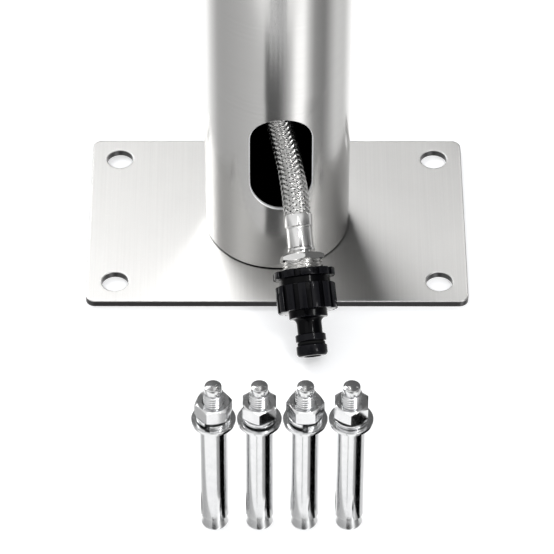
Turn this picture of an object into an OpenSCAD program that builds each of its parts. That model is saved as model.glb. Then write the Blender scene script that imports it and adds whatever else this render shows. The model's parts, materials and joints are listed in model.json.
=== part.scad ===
// Outdoor shower: a round column on a base plate, with its supply hose, valve, arm and head.
// The hose side with the window faces -Y, the user's side with the lever and the head faces +Y.
// The origin is the middle of the base plate's underside.

/* [Base plate] */
// Width of the plate, along X
plate_w = 200; // [170:1:260]
// Depth of the plate, along Y
plate_d = 125; // [110:1:180]
// Thickness of the plate
plate_t = 4; // [3:0.5:8]
// Radius of the plate's corners
plate_corner_r = 5; // [2:0.5:12]
// Diameter of an anchor hole
plate_hole_d = 14; // [12:0.5:18]
// Distance from an anchor hole's centre to the plate's edges
plate_hole_edge = 15; // [12:0.5:22]

/* [Column] */
// Outer diameter of the column
column_d = 76; // [74:0.5:84]
// Wall of the column
column_wall = 1.5; // [1:0.25:2.5]
// Length of the column
column_len = 2100; // [2080:10:2300]
// Thickness of the cap's disc
cap_t = 2.5; // [1.5:0.25:6]
// Depth of the cap's skirt
cap_skirt_len = 14; // [10:1:20]
// Wall of the cap's skirt
cap_skirt_wall = 3.5; // [3:0.25:6]
// Thickness of the O-ring in the cap's skirt
cap_ring_t = 2.4; // [1.8:0.1:3]

/* [Hose window] */
// Width of the window, whose ends are half rounds
window_w = 32; // [28:1:38]
// Height of the window
window_h = 61; // [56:1:90]
// Height of the window's lower lip above the plate
window_lift = 43; // [38:0.5:44]
// Turn of the window about the column's axis, towards +X, in degrees
window_turn = 3; // [0:0.5:6]

/* [Supply hose] */
// Diameter over the hose's braid
hose_d = 14; // [12:0.5:15]
// Diameter of the hose's water way
hose_bore_d = 8; // [6:0.5:9]
// Length of a crimped ferrule
ferrule_len = 19.2; // [14:0.2:26]
// Diameter of the ferrule's first step, at the hose
ferrule_d = 15; // [14.5:0.1:18]
// Length of the ferrule's first step
ferrule_step_len = 6.6; // [4:0.2:10]
// Diameter of the ferrule's crimped stretch
ferrule_crimp_d = 13.6; // [12.6:0.1:15]
// Diameter of the bead at the ferrule's end
ferrule_bead_d = 14.3; // [13.8:0.1:17]
// Length of the bead at the ferrule's end
ferrule_bead_len = 1.8; // [1:0.1:3]
// Diameter of the stem that the ferrule is crimped on
stem_d = 10.2; // [9.6:0.1:11]
// Downward slope of the hose's free end, in degrees
end_slope = 38.2; // [36:0.1:38.4]
// Turn of the hose's free end towards +X, in degrees
end_turn = 7.8; // [5:0.1:10]

/* [Pipe threads] */
// Outer diameter of the small pipe thread, G1/2
thread_d = 20.95; // [20.6:0.05:21.2]
// Outer diameter of the larger pipe thread, G3/4
thread_big_d = 26.4; // [26:0.1:26.8]
// Length of the stem between a ferrule and what follows it
stem_gap = 1.5; // [1:0.1:4]
// Width of the tailpiece's hexagon across its flats
tail_hex_af = 21.5; // [21.3:0.1:24]
// Turn of the tailpiece's hexagon about the hose, in degrees
tail_hex_turn = 28; // [0:1:59]
// Length of the tailpiece's hexagon
tail_hex_len = 4; // [3:0.2:9]
// Length of the tailpiece's thread
tail_thread_len = 12; // [10:0.5:16]
// Length of the tailpiece's thread that stays outside the reducer
tail_thread_shown = 4.5; // [2:0.1:6]
// Thickness of a flat sealing washer
seal_t = 1.5; // [1:0.1:3]

/* [Thread reducer] */
// Diameter of the reducer's castellated flange
reducer_d = 32; // [30:0.5:38]
// Thickness of the reducer's flange
reducer_flange_t = 3.9; // [2.5:0.1:6]
// Number of notches round the reducer's flange
reducer_notches = 10; // [8:1:16]
// Width of a notch in the reducer's flange
reducer_notch_w = 3.4; // [2:0.1:4.5]
// Depth of a notch in the reducer's flange
reducer_notch_depth = 1.2; // [0.6:0.1:1.6]
// Gap between the reducer's flange and the connector's collar
reducer_gap = 3.4; // [2:0.1:6]
// Length of the reducer's larger thread inside the collar
reducer_thread_len = 10; // [8:0.5:12]

/* [Tap connector] */
// Diameter over the collar's ribs
collar_d = 31; // [30:0.5:38]
// Height of the ribs above the collar
collar_rib_h = 1.1; // [0.6:0.1:1.3]
// Width of one rib
collar_rib_w = 4.4; // [3:0.1:5]
// Number of ribs round the collar
collar_ribs = 14; // [10:1:16]
// Length of the collar
collar_len = 13.8; // [13:0.2:18]
// Thickness of the rubber washer in the collar
collar_seal_t = 2; // [1.5:0.1:3]
// Diameter of the shoulder under the collar
shoulder_d = 20; // [17:0.5:24]
// Length of the shoulder
shoulder_len = 3.6; // [2:0.2:6]
// Radius of the fillet from the shoulder to the nipple's neck
neck_fillet_r = 2.6; // [1:0.1:3]
// Diameter of the nipple's neck
nipple_neck_d = 13; // [12:0.1:13.4]
// Length of the nipple's neck
nipple_neck_len = 8.4; // [5:0.2:10]
// Diameter of the nipple's ring
nipple_ring_d = 15.8; // [15:0.1:17]
// Length of the nipple's ring
nipple_ring_len = 3.7; // [2:0.1:5]
// Thickness of the nipple's O-ring
nipple_seal_t = 1.8; // [1.2:0.1:2]
// Diameter over the nipple's O-ring
nipple_seal_d = 14.4; // [13.6:0.1:15]
// Diameter of the nipple's end land
nipple_end_d = 16; // [15:0.1:17]
// Length of the nipple's end, with its chamfer
nipple_end_len = 5.6; // [4:0.1:8]
// Length of the chamfer at the nipple's tip
nipple_chamfer = 1.6; // [0.8:0.1:2]
// Diameter of the nipple's water way
nipple_bore_d = 8.4; // [6:0.2:9]

/* [Valve] */
// Height of the valve's axis above the floor
valve_z = 1100; // [1080:5:1200]
// Distance from the column's axis to the pipe threads' axis, along Y
pipe_y = 16; // [14:0.5:18]
// Diameter of the valve's block
block_d = 38; // [37:0.5:44]
// Length of the valve's block
block_len = 28; // [27:0.5:34]
// Length of a pipe thread on the valve and on the elbow
spigot_len = 13; // [12:0.5:16]
// Diameter of the water way in the pipe threads
waterway_d = 10; // [8:0.5:12]
// Diameter of the valve's threaded neck
neck_d = 30; // [28:0.5:32]
// Diameter of the valve's cartridge
cartridge_d = 22; // [21:0.5:24]
// Depth of the water chamber behind the cartridge
chamber_len = 6; // [4:0.5:8]
// Thickness of the saddle washers at their thin edge
saddle_min_t = 1.2; // [0.8:0.1:2]
// Diameter of the valve's escutcheon
escutcheon_d = 58; // [54:0.5:64]
// Thickness of the escutcheon in front of the column
escutcheon_t = 8; // [5:0.5:12]
// Diameter of the round lock nut
lock_nut_d = 40; // [37:0.5:40.5]
// Thickness of the lock nut
lock_nut_t = 5; // [3:0.5:8]
// Length of the neck inside the cartridge nut
cap_nut_grip = 6; // [4:0.5:9]
// Width of the cartridge nut across its flats
cap_nut_af = 34; // [33.5:0.5:35]
// Thickness of the lip of a nut
nut_lip_t = 3; // [2:0.25:4]
// Thickness of the cartridge's flange
cartridge_flange_t = 2.5; // [1.5:0.25:4]
// Length of the cartridge's snout in front of its nut
snout_len = 3; // [2:0.5:6]
// Thickness of the rubber seal under the ceramic discs
disc_seal_t = 3; // [2:0.25:4]
// Diameter of the ceramic discs
disc_d = 16; // [14:0.5:17]
// Thickness of a ceramic disc
disc_t = 3; // [2.5:0.25:4]
// Diameter of the spindle
spindle_d = 9; // [8:0.25:10]
// Thickness of the spindle's foot
spindle_foot_t = 2; // [1.5:0.25:3]
// Thickness of the spindle's O-ring
spindle_ring_t = 1.6; // [1.2:0.1:1.8]

/* [Handle] */
// Diameter of the handle's hub
hub_d = 48; // [47:0.5:54]
// Wall of the hub's skirt
hub_wall = 3; // [2.5:0.25:3]
// Thickness of the hub's front
hub_front_t = 14.5; // [14:0.5:18]
// Thickness of the web between the spindle and the screw's head
hub_web = 2; // [1.5:0.25:2.5]
// Length of the spindle inside the hub
spindle_grip = 7; // [5:0.5:7.5]
// Reach of the lever from the hub's axis to its tip
lever_reach = 98; // [70:1:130]
// Diameter of the lever
lever_d = 11; // [8:0.5:11.5]
// Diameter of the cover cap in the hub's front
cover_d = 18; // [14:0.5:22]
// Thickness of the cover cap
cover_t = 2; // [1.5:0.25:2.25]
// Diameter of the handle's screw
screw_d = 4; // [3:0.5:5]
// Diameter of the screw's head
screw_head_d = 8; // [7:0.5:10]
// Length of the screw's shank
screw_len = 9; // [7:0.5:12]

/* [Riser] */
// Diameter of the riser pipe
riser_d = 15; // [12:0.5:15.5]
// Wall of the riser pipe
riser_wall = 1; // [0.8:0.1:1.5]
// Diameter of the collar on a pipe's or insert's end
pipe_collar_d = 18.4; // [17.4:0.1:19]
// Thickness of that collar
pipe_collar_t = 2; // [1.5:0.25:3]
// Width of a union nut across its flats
union_af = 24; // [23.5:0.5:25]
// Length of the pipe thread inside a union nut
union_grip = 10; // [7:0.5:11]

/* [Arm] */
// Distance from the column's top down to the arm's axis
arm_below_top = 64; // [54:1:104]
// Distance from the column's axis to the head's axis
arm_reach = 280; // [220:5:320]
// Diameter of the arm
arm_d = 22; // [20:0.5:23]
// Wall of the arm
arm_wall = 1.5; // [1:0.1:2]
// Radius of the arm's bend, on its axis
arm_bend_r = 45; // [35:1:60]
// Straight stretch of the arm below its bend
arm_drop = 16; // [12:1:30]
// Diameter of the elbow's block
elbow_d = 30; // [29:0.5:34]
// Diameter of the elbow's neck
elbow_neck_d = 24; // [23.5:0.5:25]
// Diameter of the arm's rosette
rosette_d = 52; // [46:0.5:58]
// Thickness of the rosette in front of the column
rosette_t = 6; // [4:0.5:9]
// Width of the arm's lock nut across its flats
arm_nut_af = 32; // [30:0.5:36]
// Thickness of the arm's lock nut
arm_nut_t = 6; // [4:0.5:8]
// Diameter of the arm's socket
socket_d = 30; // [29:0.5:34]
// Length of the elbow's neck inside the arm's socket
socket_grip = 10; // [8:0.5:14]

/* [Head] */
// Diameter of the ball
ball_d = 20; // [18:0.5:21]
// Diameter of the neck above the ball
ball_neck_d = 10; // [9:0.25:10.5]
// Wall of the spherical seat ring round the ball
seat_wall = 2.1; // [1.8:0.1:2.6]
// Half height of the seat ring, above the ball's centre
seat_rise = 6; // [5:0.25:6]
// Length of the ball's neck up to its collar
ball_neck_len = 7; // [6:0.5:12]
// Thickness of the ball stud's collar
stud_collar_t = 4; // [3:0.25:8]
// Length of the ball stud's shank in the arm
stud_shank_len = 10; // [8:0.5:11]
// Diameter of the swivel nut
swivel_d = 36; // [35:0.5:40]
// Diameter of the head's threaded hub
head_hub_d = 30; // [29.5:0.25:30.5]
// Diameter of the shower head
head_d = 180; // [160:2:220]
// Height of the head's rim
head_rim_h = 9; // [8:0.5:12]
// Rise of the head's back from its rim to its hub
head_rise = 7; // [4:0.5:12]
// Wall of the head's shell
head_wall = 1.2; // [1:0.1:2]
// Thickness of the spray plate
spray_t = 1.5; // [1:0.1:2]
// Thickness of the nozzle mat
mat_t = 2; // [1.5:0.1:3]
// Diameter of a nozzle
nozzle_d = 3; // [2.5:0.1:3.5]
// Height of a nozzle below the spray plate
nozzle_h = 2; // [1:0.1:3]
// Distance between the rings of nozzles
nozzle_pitch = 17; // [15:0.5:17.5]
// Thickness of the flow washer in the head's hub
flow_washer_t = 2; // [1.5:0.1:3]

/* [Anchors] */
// Number of anchors in the row
anchor_count = 4; // [2:1:4]
// Distance between two anchors
anchor_pitch = 22; // [22:0.5:30]
// Place of the row's middle, along X
anchor_x = 2; // [-10:1:10]
// Distance from the column's axis to the row, towards the hose side
anchor_y = 212; // [150:1:240]
// Diameter of the stud
stud_d = 9.8; // [7.8:0.1:9.8]
// Height of the stud
stud_len = 95; // [90:1:150]
// Diameter of the stud's cone at its foot
cone_d = 13.6; // [12.6:0.1:14]
// Height of the cone
cone_h = 7; // [5:0.25:10]
// Diameter of the sleeve
sleeve_d = 14; // [13:0.1:15]
// Wall of the sleeve
sleeve_wall = 1.6; // [1.2:0.1:1.9]
// Length of the sleeve
sleeve_len = 64; // [50:1:64]
// Length of a slit in the sleeve
slit_len = 17; // [10:0.5:24]
// Width of a slit in the sleeve
slit_w = 1.2; // [0.8:0.1:2]
// Diameter of the flat washer
washer_d = 21.6; // [18:0.2:21.6]
// Thickness of the flat washer
washer_t = 1.8; // [1.2:0.1:2.5]
// Diameter of the spring washer
spring_washer_d = 17; // [15:0.1:18]
// Thickness of the spring washer, with its rise
spring_washer_t = 3.4; // [2:0.1:4]
// Width of the nut across its flats
nut_af = 16; // [15:0.1:17]
// Height of the nut
nut_h = 8; // [6:0.1:9]

/* [Fits] */
// Radial clearance of a thread, a plug or a shaft
fit = 0.05; // [0.02:0.01:0.09]
// Gap between pieces that are pushed or screwed together
seat_gap = 0.1; // [0.05:0.01:0.15]
// Gap between pieces that move past each other
run_gap = 0.4; // [0.3:0.05:0.6]
// Clearance of a neck in its hole in the column
hole_gap = 0.2; // [0.1:0.05:0.4]

/* [Hidden] */

// Roundness of turned pieces
$fn = 64;
// Reach of a cut past the face that it goes through
cut = 1;

// Points of the hose's middle line, from its free end up to the valve, chosen by hand
hose_end = [10.3, -47.2, 51.4];
hose_points = [[7.2, -30.5, 66.2], [4.8, -24.5, 74.8], [2.1, -20.1, 84.2], [-0.6, -17.4, 94.4],
    [-3.4, -15.8, 105], [-6.2, -14.8, 117], [-9, -13.9, 132], [-11.2, -12.8, 150],
    [-12.6, -11.2, 172], [-13.2, -9.2, 198], [-13, -6.5, 230], [-12, -3, 270], [-10.6, 0.5, 320],
    [-8.6, 4.5, 400], [-6.4, 8, 500], [-4.3, 10.8, 600], [-2.5, 13, 700], [-1.2, 14.6, 800],
    [-0.4, 15.6, 900]];
// Straight stretch of the hose at each of its two ends
hose_straight = 10;
// Sides of the hose's tube
hose_sides = 10;
// Longest step between two rings of the hose's tube
hose_step = 2.8 * hose_d;

// Column
column_r = column_d / 2;
column_inner_r = column_r - column_wall;
column_top = plate_t + column_len;
arm_z = column_top - arm_below_top;
window_bottom = plate_t + window_lift;

// Anchor holes in the plate
hole_x = plate_w / 2 - plate_hole_edge;
hole_y = plate_d / 2 - plate_hole_edge;

// Places along the hose's free end, measured from the hose's cut end
tail_hex_at = ferrule_len + stem_gap;
tail_thread_at = tail_hex_at + tail_hex_len;
tail_end = tail_thread_at + tail_thread_len;
reducer_at = tail_thread_at + tail_thread_shown;
reducer_neck_at = reducer_at + reducer_flange_t;
collar_at = reducer_neck_at + reducer_gap;
reducer_end = collar_at + reducer_thread_len;
collar_floor = reducer_end + collar_seal_t;
collar_end = collar_at + collar_len;
shoulder_end = collar_end + shoulder_len;
ring_at = shoulder_end + nipple_neck_len;
ring_end = ring_at + nipple_ring_len;
land_at = ring_end + nipple_seal_t + 2 * seat_gap;
nipple_tip = land_at + nipple_end_len;
nipple_seal_r = nipple_seal_d / 2 - nipple_seal_t / 2;

// Threads and nuts
thread_r = thread_d / 2;
thread_big_r = thread_big_d / 2;
union_pipe_at = seal_t + pipe_collar_t;
union_len = union_grip + union_pipe_at + nut_lip_t;

// Valve, along Y
block_r = block_d / 2;
neck_r = neck_d / 2;
cartridge_r = cartridge_d / 2;
disc_r = disc_d / 2;
spindle_r = spindle_d / 2;
block_front = sqrt(pow(column_inner_r, 2) - pow(block_r, 2)) - saddle_min_t;
block_back = block_front - block_len;
chamber_at = block_back + (block_len - chamber_len - disc_seal_t - 2 * disc_t) / 4;
disc_seal_at = chamber_at + chamber_len;
disc_fixed_at = disc_seal_at + disc_seal_t;
disc_turning_at = disc_fixed_at + disc_t + fit;
spindle_at = disc_turning_at + disc_t;
cage_floor = spindle_at + spindle_foot_t + fit;
escutcheon_front = column_r + escutcheon_t;
lock_nut_front = escutcheon_front + lock_nut_t;
neck_end = lock_nut_front + seat_gap + cap_nut_grip;
cartridge_flange_front = neck_end + cartridge_flange_t;
cap_nut_front = cartridge_flange_front + nut_lip_t;
snout_front = cap_nut_front + snout_len;
snout_r = cartridge_r - nut_lip_t;
hub_back = escutcheon_front + run_gap;
hub_floor = snout_front + run_gap;
hub_front = hub_floor + hub_front_t;
spindle_end = hub_floor + spindle_grip;
cover_at = hub_front - cover_t;
screw_head_t = screw_d * 0.6;
screw_seat = spindle_end + hub_web;
lever_y = (hub_back + hub_front) / 2;

// Riser and hose unions, along Z
hose_thread_end = valve_z - block_r - spigot_len;
hose_top_ferrule_end = hose_thread_end - union_pipe_at - nut_lip_t - stem_gap;
hose_top = hose_top_ferrule_end - ferrule_len;
riser_bottom = valve_z + block_r + spigot_len + seal_t;
elbow_r = elbow_d / 2;
riser_top = arm_z - elbow_r - spigot_len - seal_t;

// Elbow and arm, along Y
elbow_neck_r = elbow_neck_d / 2;
elbow_front = sqrt(pow(column_inner_r, 2) - pow(elbow_r, 2)) - saddle_min_t;
elbow_back = pipe_y - thread_r - column_wall;
rosette_front = column_r + rosette_t;
arm_nut_front = rosette_front + arm_nut_t;
socket_at = arm_nut_front + seat_gap;
elbow_end = socket_at + socket_grip;
socket_floor = elbow_end + seal_t;
socket_end = socket_floor + nut_lip_t;
arm_r = arm_d / 2;
arm_bore_r = arm_r - arm_wall;
bend_z = arm_z - arm_bend_r;
arm_end = bend_z - arm_drop;

// Head, along Z
ball_r = ball_d / 2;
seat_r = ball_r + seat_gap + seat_wall;
cup_r = seat_r + seat_gap;
swivel_r = swivel_d / 2;
swivel_rise = seat_rise + 2;
ball_z = arm_end - stud_collar_t - ball_neck_len - swivel_rise;
hub_top = ball_z - seat_gap;
swivel_bottom = ball_z - cup_r;
hub_r = head_hub_d / 2;
shell_top = swivel_bottom - run_gap;
rim_top = shell_top - head_rise;
rim_bottom = rim_top - head_rim_h;
head_r = head_d / 2;
spray_top = rim_bottom + spray_t;
mat_r = head_r - head_wall - nozzle_d;
nozzle_rings = floor((mat_r - nozzle_d) / nozzle_pitch);

// Anchors, along Z
sleeve_at = cone_h;
sleeve_top = sleeve_at + sleeve_len;
washer_at = sleeve_top + seat_gap;
spring_at = washer_at + washer_t + seat_gap;
nut_at = spring_at + spring_washer_t + seat_gap;
stud_r = stud_d / 2;
// Turn of each nut about its stud, in degrees
nut_turns = [10, 30, 0, 28];

// Length between two points
function gap_of(a, b) = norm(b - a);

// Direction of the hose's free end, and a point at a distance along it
function end_dir() = [sin(end_turn) * cos(end_slope), -cos(end_turn) * cos(end_slope), -sin(end_slope)];

// One point of a smooth curve through four points, between the second and the third
function smooth(a, b, c, d, t) = 0.5 * ((2 * b) + (c - a) * t + (2 * a - 5 * b + 4 * c - d) * t * t
    + (3 * b - a - 3 * c + d) * t * t * t);

// All the points that steer the hose
hose_route = concat(
    [hose_end, hose_end - hose_straight * end_dir()],
    hose_points,
    [[0, pipe_y, hose_top - 4 * hose_straight], [0, pipe_y, hose_top - hose_straight], [0, pipe_y, hose_top]]);
hose_last = len(hose_route) - 1;

// The hose's middle line with rings close enough together
hose_line = [for (i = [0 : hose_last - 1])
    let (
        a = hose_route[max(i - 1, 0)],
        b = hose_route[i],
        c = hose_route[i + 1],
        d = hose_route[min(i + 2, hose_last)],
        n = ceil(gap_of(b, c) / hose_step)
    )
    for (j = [0 : n - 1]) (i == 0 || i == hose_last - 1) ? b + (c - b) * j / n : smooth(a, b, c, d, j / n),
    hose_route[hose_last]];

// A tube with round sections square to its line
module swept_tube(line, radius, sides) {
    last = len(line) - 1;
    rings = [for (i = [0 : last])
        let (
            way = line[min(i + 1, last)] - line[max(i - 1, 0)],
            along = way / norm(way),
            side = cross(along, [1, 0, 0]) / norm(cross(along, [1, 0, 0])),
            up = cross(side, along)
        )
        for (k = [0 : sides - 1])
            line[i] + radius * (cos(360 * k / sides) * side + sin(360 * k / sides) * up)];
    walls = [for (i = [0 : last - 1]) for (k = [0 : sides - 1]) let (n = (k + 1) % sides)
        each [[i * sides + k, i * sides + n, (i + 1) * sides + n],
            [i * sides + k, (i + 1) * sides + n, (i + 1) * sides + k]]];
    ends = [[for (k = [sides - 1 : -1 : 0]) k], [for (k = [0 : sides - 1]) last * sides + k]];
    polyhedron(points = rings, faces = concat(walls, ends));
}

// Places its children on the hose's free end, with +Z towards the nipple's tip
module on_hose_end(s = 0) {
    translate(hose_end)
        rotate([90 + end_slope, 0, end_turn])
            translate([0, 0, s])
                children();
}

// Turns its children so that +Z points to +Y, at a height and a distance in front of the column's axis
module facing(y, z) {
    translate([0, y, z])
        rotate([-90, 0, 0])
            children();
}

// A flat ring or a tube
module ring(outer_r, inner_r, h) {
    difference() {
        cylinder(r = outer_r, h = h);
        translate([0, 0, -cut])
            cylinder(r = inner_r, h = h + 2 * cut);
    }
}

// A torus that lies flat round the Z axis
module o_ring(r, t) {
    rotate_extrude()
        translate([r, 0])
            circle(d = t, $fn = 32);
}

// A hexagonal bar with a turned chamfer on both ends
module hex_bar(af, h, chamfer = 0.6) {
    corner_r = af / 2 / cos(30);
    intersection() {
        cylinder(r = corner_r, h = h, $fn = 6);
        rotate_extrude()
            polygon([[0, 0], [af / 2, 0], [corner_r + 0.1, chamfer], [corner_r + 0.1, h - chamfer],
                [af / 2, h], [0, h]]);
    }
}

// A rectangle with round corners
module round_rect(w, d, r) {
    square([w - 2 * r, d], center = true);
    square([w, d - 2 * r], center = true);
    for (x = [-1, 1], y = [-1, 1])
        translate([x * (w / 2 - r), y * (d / 2 - r)])
            circle(r = r);
}

// An upright shape with half round ends, its lowest point at the origin
module upright_slot(w, h) {
    translate([-w / 2, w / 2])
        square([w, h - w]);
    for (y = [w / 2, h - w / 2])
        translate([0, y])
            circle(d = w);
}

// A crimped ferrule, from the hose's end at 0
module ferrule() {
    difference() {
        union() {
            cylinder(d = ferrule_d, h = ferrule_step_len);
            cylinder(d = ferrule_crimp_d, h = ferrule_len);
            translate([0, 0, ferrule_len - ferrule_bead_len])
                cylinder(d = ferrule_bead_d, h = ferrule_bead_len);
        }
        translate([0, 0, -cut])
            cylinder(r = stem_d / 2 + fit, h = ferrule_len + 2 * cut);
    }
}

// A union nut from the end of its grip at 0, with its lip at the far end
module union_nut(pipe_r) {
    difference() {
        hex_bar(union_af, union_len);
        translate([0, 0, -cut])
            cylinder(r = thread_r + fit, h = union_grip + union_pipe_at + cut);
        cylinder(r = pipe_r + fit, h = union_len + cut);
    }
}

// A washer in a union nut
module union_washer() {
    ring(pipe_collar_d / 2, waterway_d / 2 + fit, seal_t - fit);
}

module base_plate() {
    color("silver")
        difference() {
            linear_extrude(plate_t)
                round_rect(plate_w, plate_d, plate_corner_r);
            for (x = [-hole_x, hole_x], y = [-hole_y, hole_y])
                translate([x, y, -cut])
                    cylinder(d = plate_hole_d, h = plate_t + 2 * cut);
        }
}

module column_tube() {
    color("gainsboro")
        difference() {
            translate([0, 0, plate_t])
                cylinder(r = column_r, h = column_len);
            translate([0, 0, plate_t - cut])
                cylinder(r = column_inner_r, h = column_len + 2 * cut);
            rotate([0, 0, window_turn])
                translate([0, 0, window_bottom])
                    rotate([90, 0, 0])
                        linear_extrude(column_r + cut)
                            upright_slot(window_w, window_h);
            facing(0, valve_z)
                cylinder(r = neck_r + hole_gap, h = column_r + cut);
            facing(0, arm_z)
                cylinder(r = elbow_neck_r + hole_gap, h = column_r + cut);
        }
}

// The groove's bottom leaves the ring its fit in the tube
module column_cap() {
    skirt_r = column_inner_r - seat_gap;
    groove_r = column_inner_r - cap_ring_t - 2 * fit;
    color("silver")
        difference() {
            union() {
                translate([0, 0, column_top])
                    cylinder(r = column_r, h = cap_t);
                translate([0, 0, column_top - cap_skirt_len])
                    cylinder(r = skirt_r, h = cap_skirt_len);
            }
            translate([0, 0, column_top - cap_skirt_len - cut])
                cylinder(r = skirt_r - cap_skirt_wall, h = cap_skirt_len + cut);
            translate([0, 0, column_top - (cap_skirt_len + cap_ring_t) / 2 - fit])
                ring(column_r, groove_r, cap_ring_t + 2 * fit);
        }
}

module cap_o_ring() {
    color("black")
        translate([0, 0, column_top - cap_skirt_len / 2])
            o_ring(column_inner_r - fit - cap_ring_t / 2, cap_ring_t);
}

module supply_hose() {
    color("lightgray")
        swept_tube(hose_line, hose_d / 2, hose_sides);
}

module hose_end_ferrule() {
    color("whitesmoke")
        on_hose_end()
            ferrule();
}

// The stem reaches through the ferrule, the thread into the reducer
module hose_tailpiece() {
    color("silver")
        on_hose_end()
            difference() {
                union() {
                    translate([0, 0, seat_gap])
                        cylinder(d = stem_d, h = tail_hex_at + cut);
                    translate([0, 0, tail_hex_at])
                        rotate([0, 0, tail_hex_turn])
                            hex_bar(tail_hex_af, tail_hex_len);
                    translate([0, 0, tail_thread_at])
                        cylinder(r = thread_r, h = tail_thread_len);
                }
                translate([0, 0, -cut])
                    cylinder(d = hose_bore_d, h = tail_end + 2 * cut);
            }
}

module tailpiece_washer() {
    color("tan")
        on_hose_end(tail_end)
            ring(thread_r - seat_gap, hose_bore_d / 2 + fit, seal_t - fit);
}

module thread_reducer() {
    color("black")
        on_hose_end()
            difference() {
                union() {
                    translate([0, 0, reducer_at])
                        cylinder(d = reducer_d, h = reducer_flange_t);
                    translate([0, 0, reducer_neck_at])
                        cylinder(r = thread_big_r, h = reducer_end - reducer_neck_at);
                }
                for (i = [0 : reducer_notches - 1])
                    rotate([0, 0, 360 * i / reducer_notches])
                        translate([reducer_d / 2 - reducer_notch_depth, -reducer_notch_w / 2, reducer_at - cut])
                            cube([reducer_notch_depth + cut, reducer_notch_w, reducer_flange_t + 2 * cut]);
                translate([0, 0, reducer_at - cut])
                    cylinder(r = thread_r + fit, h = tail_end + seal_t - reducer_at + cut);
                cylinder(d = hose_bore_d + 2 * seal_t, h = reducer_end + cut);
            }
}

module connector_washer() {
    color("dimgray")
        on_hose_end(reducer_end + fit)
            ring(thread_big_r - seat_gap, nipple_bore_d / 2 + seal_t, collar_seal_t - 2 * fit);
}

// The half profile of the nipple, from the collar's end to the tip
module nipple_profile() {
    neck_r1 = nipple_neck_d / 2;
    groove_r = nipple_seal_r - nipple_seal_t / 2 - fit;
    polygon(concat(
        [[0, collar_end - cut], [shoulder_d / 2, collar_end - cut], [shoulder_d / 2, shoulder_end]],
        [for (a = [0 : 15 : 90])
            [neck_r1 + neck_fillet_r * (1 - sin(a)), shoulder_end + neck_fillet_r * (1 - cos(a))]],
        [[neck_r1, ring_at], [nipple_ring_d / 2, ring_at], [nipple_ring_d / 2, ring_end],
            [groove_r, ring_end], [groove_r, land_at],
            [nipple_end_d / 2, land_at], [nipple_end_d / 2, nipple_tip - nipple_chamfer],
            [nipple_end_d / 2 - nipple_chamfer * 0.8, nipple_tip], [0, nipple_tip]]));
}

// The collar's section: a round body with ribs
module ribbed_disc() {
    body_r = collar_d / 2 - collar_rib_h;
    circle(r = body_r);
    intersection() {
        circle(d = collar_d);
        for (i = [0 : collar_ribs - 1])
            rotate(360 * i / collar_ribs)
                translate([body_r / 2, -collar_rib_w / 2])
                    square([collar_d / 2, collar_rib_w]);
    }
}

module tap_connector() {
    color("black")
        on_hose_end()
            difference() {
                union() {
                    translate([0, 0, collar_at])
                        linear_extrude(collar_len)
                            ribbed_disc();
                    rotate_extrude()
                        nipple_profile();
                }
                translate([0, 0, collar_at - cut])
                    cylinder(r = thread_big_r + fit, h = collar_floor - collar_at + cut);
                cylinder(d = nipple_bore_d, h = nipple_tip + cut);
            }
}

module nipple_o_ring() {
    color("dimgray")
        on_hose_end((ring_end + land_at) / 2)
            o_ring(nipple_seal_r, nipple_seal_t);
}

module hose_top_ferrule() {
    color("whitesmoke")
        translate([0, pipe_y, hose_top])
            ferrule();
}

module hose_top_insert() {
    color("goldenrod")
        translate([0, pipe_y, hose_top])
            difference() {
                union() {
                    translate([0, 0, seat_gap])
                        cylinder(d = stem_d, h = hose_thread_end - seal_t - hose_top - seat_gap);
                    translate([0, 0, hose_thread_end - hose_top - union_pipe_at])
                        cylinder(d = pipe_collar_d, h = pipe_collar_t);
                }
                translate([0, 0, -cut])
                    cylinder(d = hose_bore_d, h = hose_thread_end - hose_top + 2 * cut);
            }
}

module hose_union_nut() {
    color("silver")
        translate([0, pipe_y, hose_thread_end + union_grip])
            mirror([0, 0, 1])
                union_nut(stem_d / 2);
}

module hose_union_washer() {
    color("tan")
        translate([0, pipe_y, hose_thread_end - seal_t])
            union_washer();
}

module valve_body() {
    thread_reach = block_r + spigot_len;
    color("goldenrod")
        difference() {
            union() {
                facing(block_back, valve_z)
                    cylinder(r = block_r, h = block_len);
                facing(block_front - cut, valve_z)
                    cylinder(r = neck_r, h = neck_end - block_front + cut);
                translate([0, pipe_y, valve_z - thread_reach])
                    cylinder(r = thread_r, h = 2 * thread_reach);
            }
            facing(chamber_at, valve_z)
                cylinder(r = cartridge_r + fit, h = neck_end - chamber_at + cut);
            translate([0, pipe_y, valve_z])
                cylinder(d = waterway_d, h = thread_reach + cut);
            translate([0, pipe_y, valve_z - thread_reach - cut])
                cylinder(d = waterway_d, h = spigot_len + cut);
            translate([0, pipe_y, valve_z - block_r])
                rotate([atan((pipe_y - chamber_at - chamber_len / 2) / (block_r / 2)), 0, 0])
                    cylinder(d = chamber_len, h = block_r * 0.7);
        }
}

// A washer between a block and the inside of the column's wall
module saddle_washer(outer_r, inner_r, back, z) {
    intersection() {
        facing(back + fit, z)
            ring(outer_r, inner_r, column_r);
        translate([0, 0, z - 2 * outer_r])
            cylinder(r = column_inner_r - fit, h = 4 * outer_r);
    }
}

// A cover ring that sits on the outside of the column's wall, with a turned front edge
module saddle_cover(outer_r, inner_r, front, z) {
    edge = 2.5;
    difference() {
        facing(0, z)
            rotate_extrude()
                polygon(concat(
                    [[inner_r, 0], [outer_r, 0]],
                    [for (a = [0 : 15 : 90]) [outer_r - edge * (1 - cos(a)), front - edge * (1 - sin(a))]],
                    [[inner_r, front]]));
        translate([0, 0, z - 2 * outer_r])
            cylinder(r = column_r + fit, h = 4 * outer_r);
    }
}

module valve_saddle_washer() {
    color("black")
        saddle_washer(block_r, neck_r + seat_gap, block_front, valve_z);
}

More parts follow.
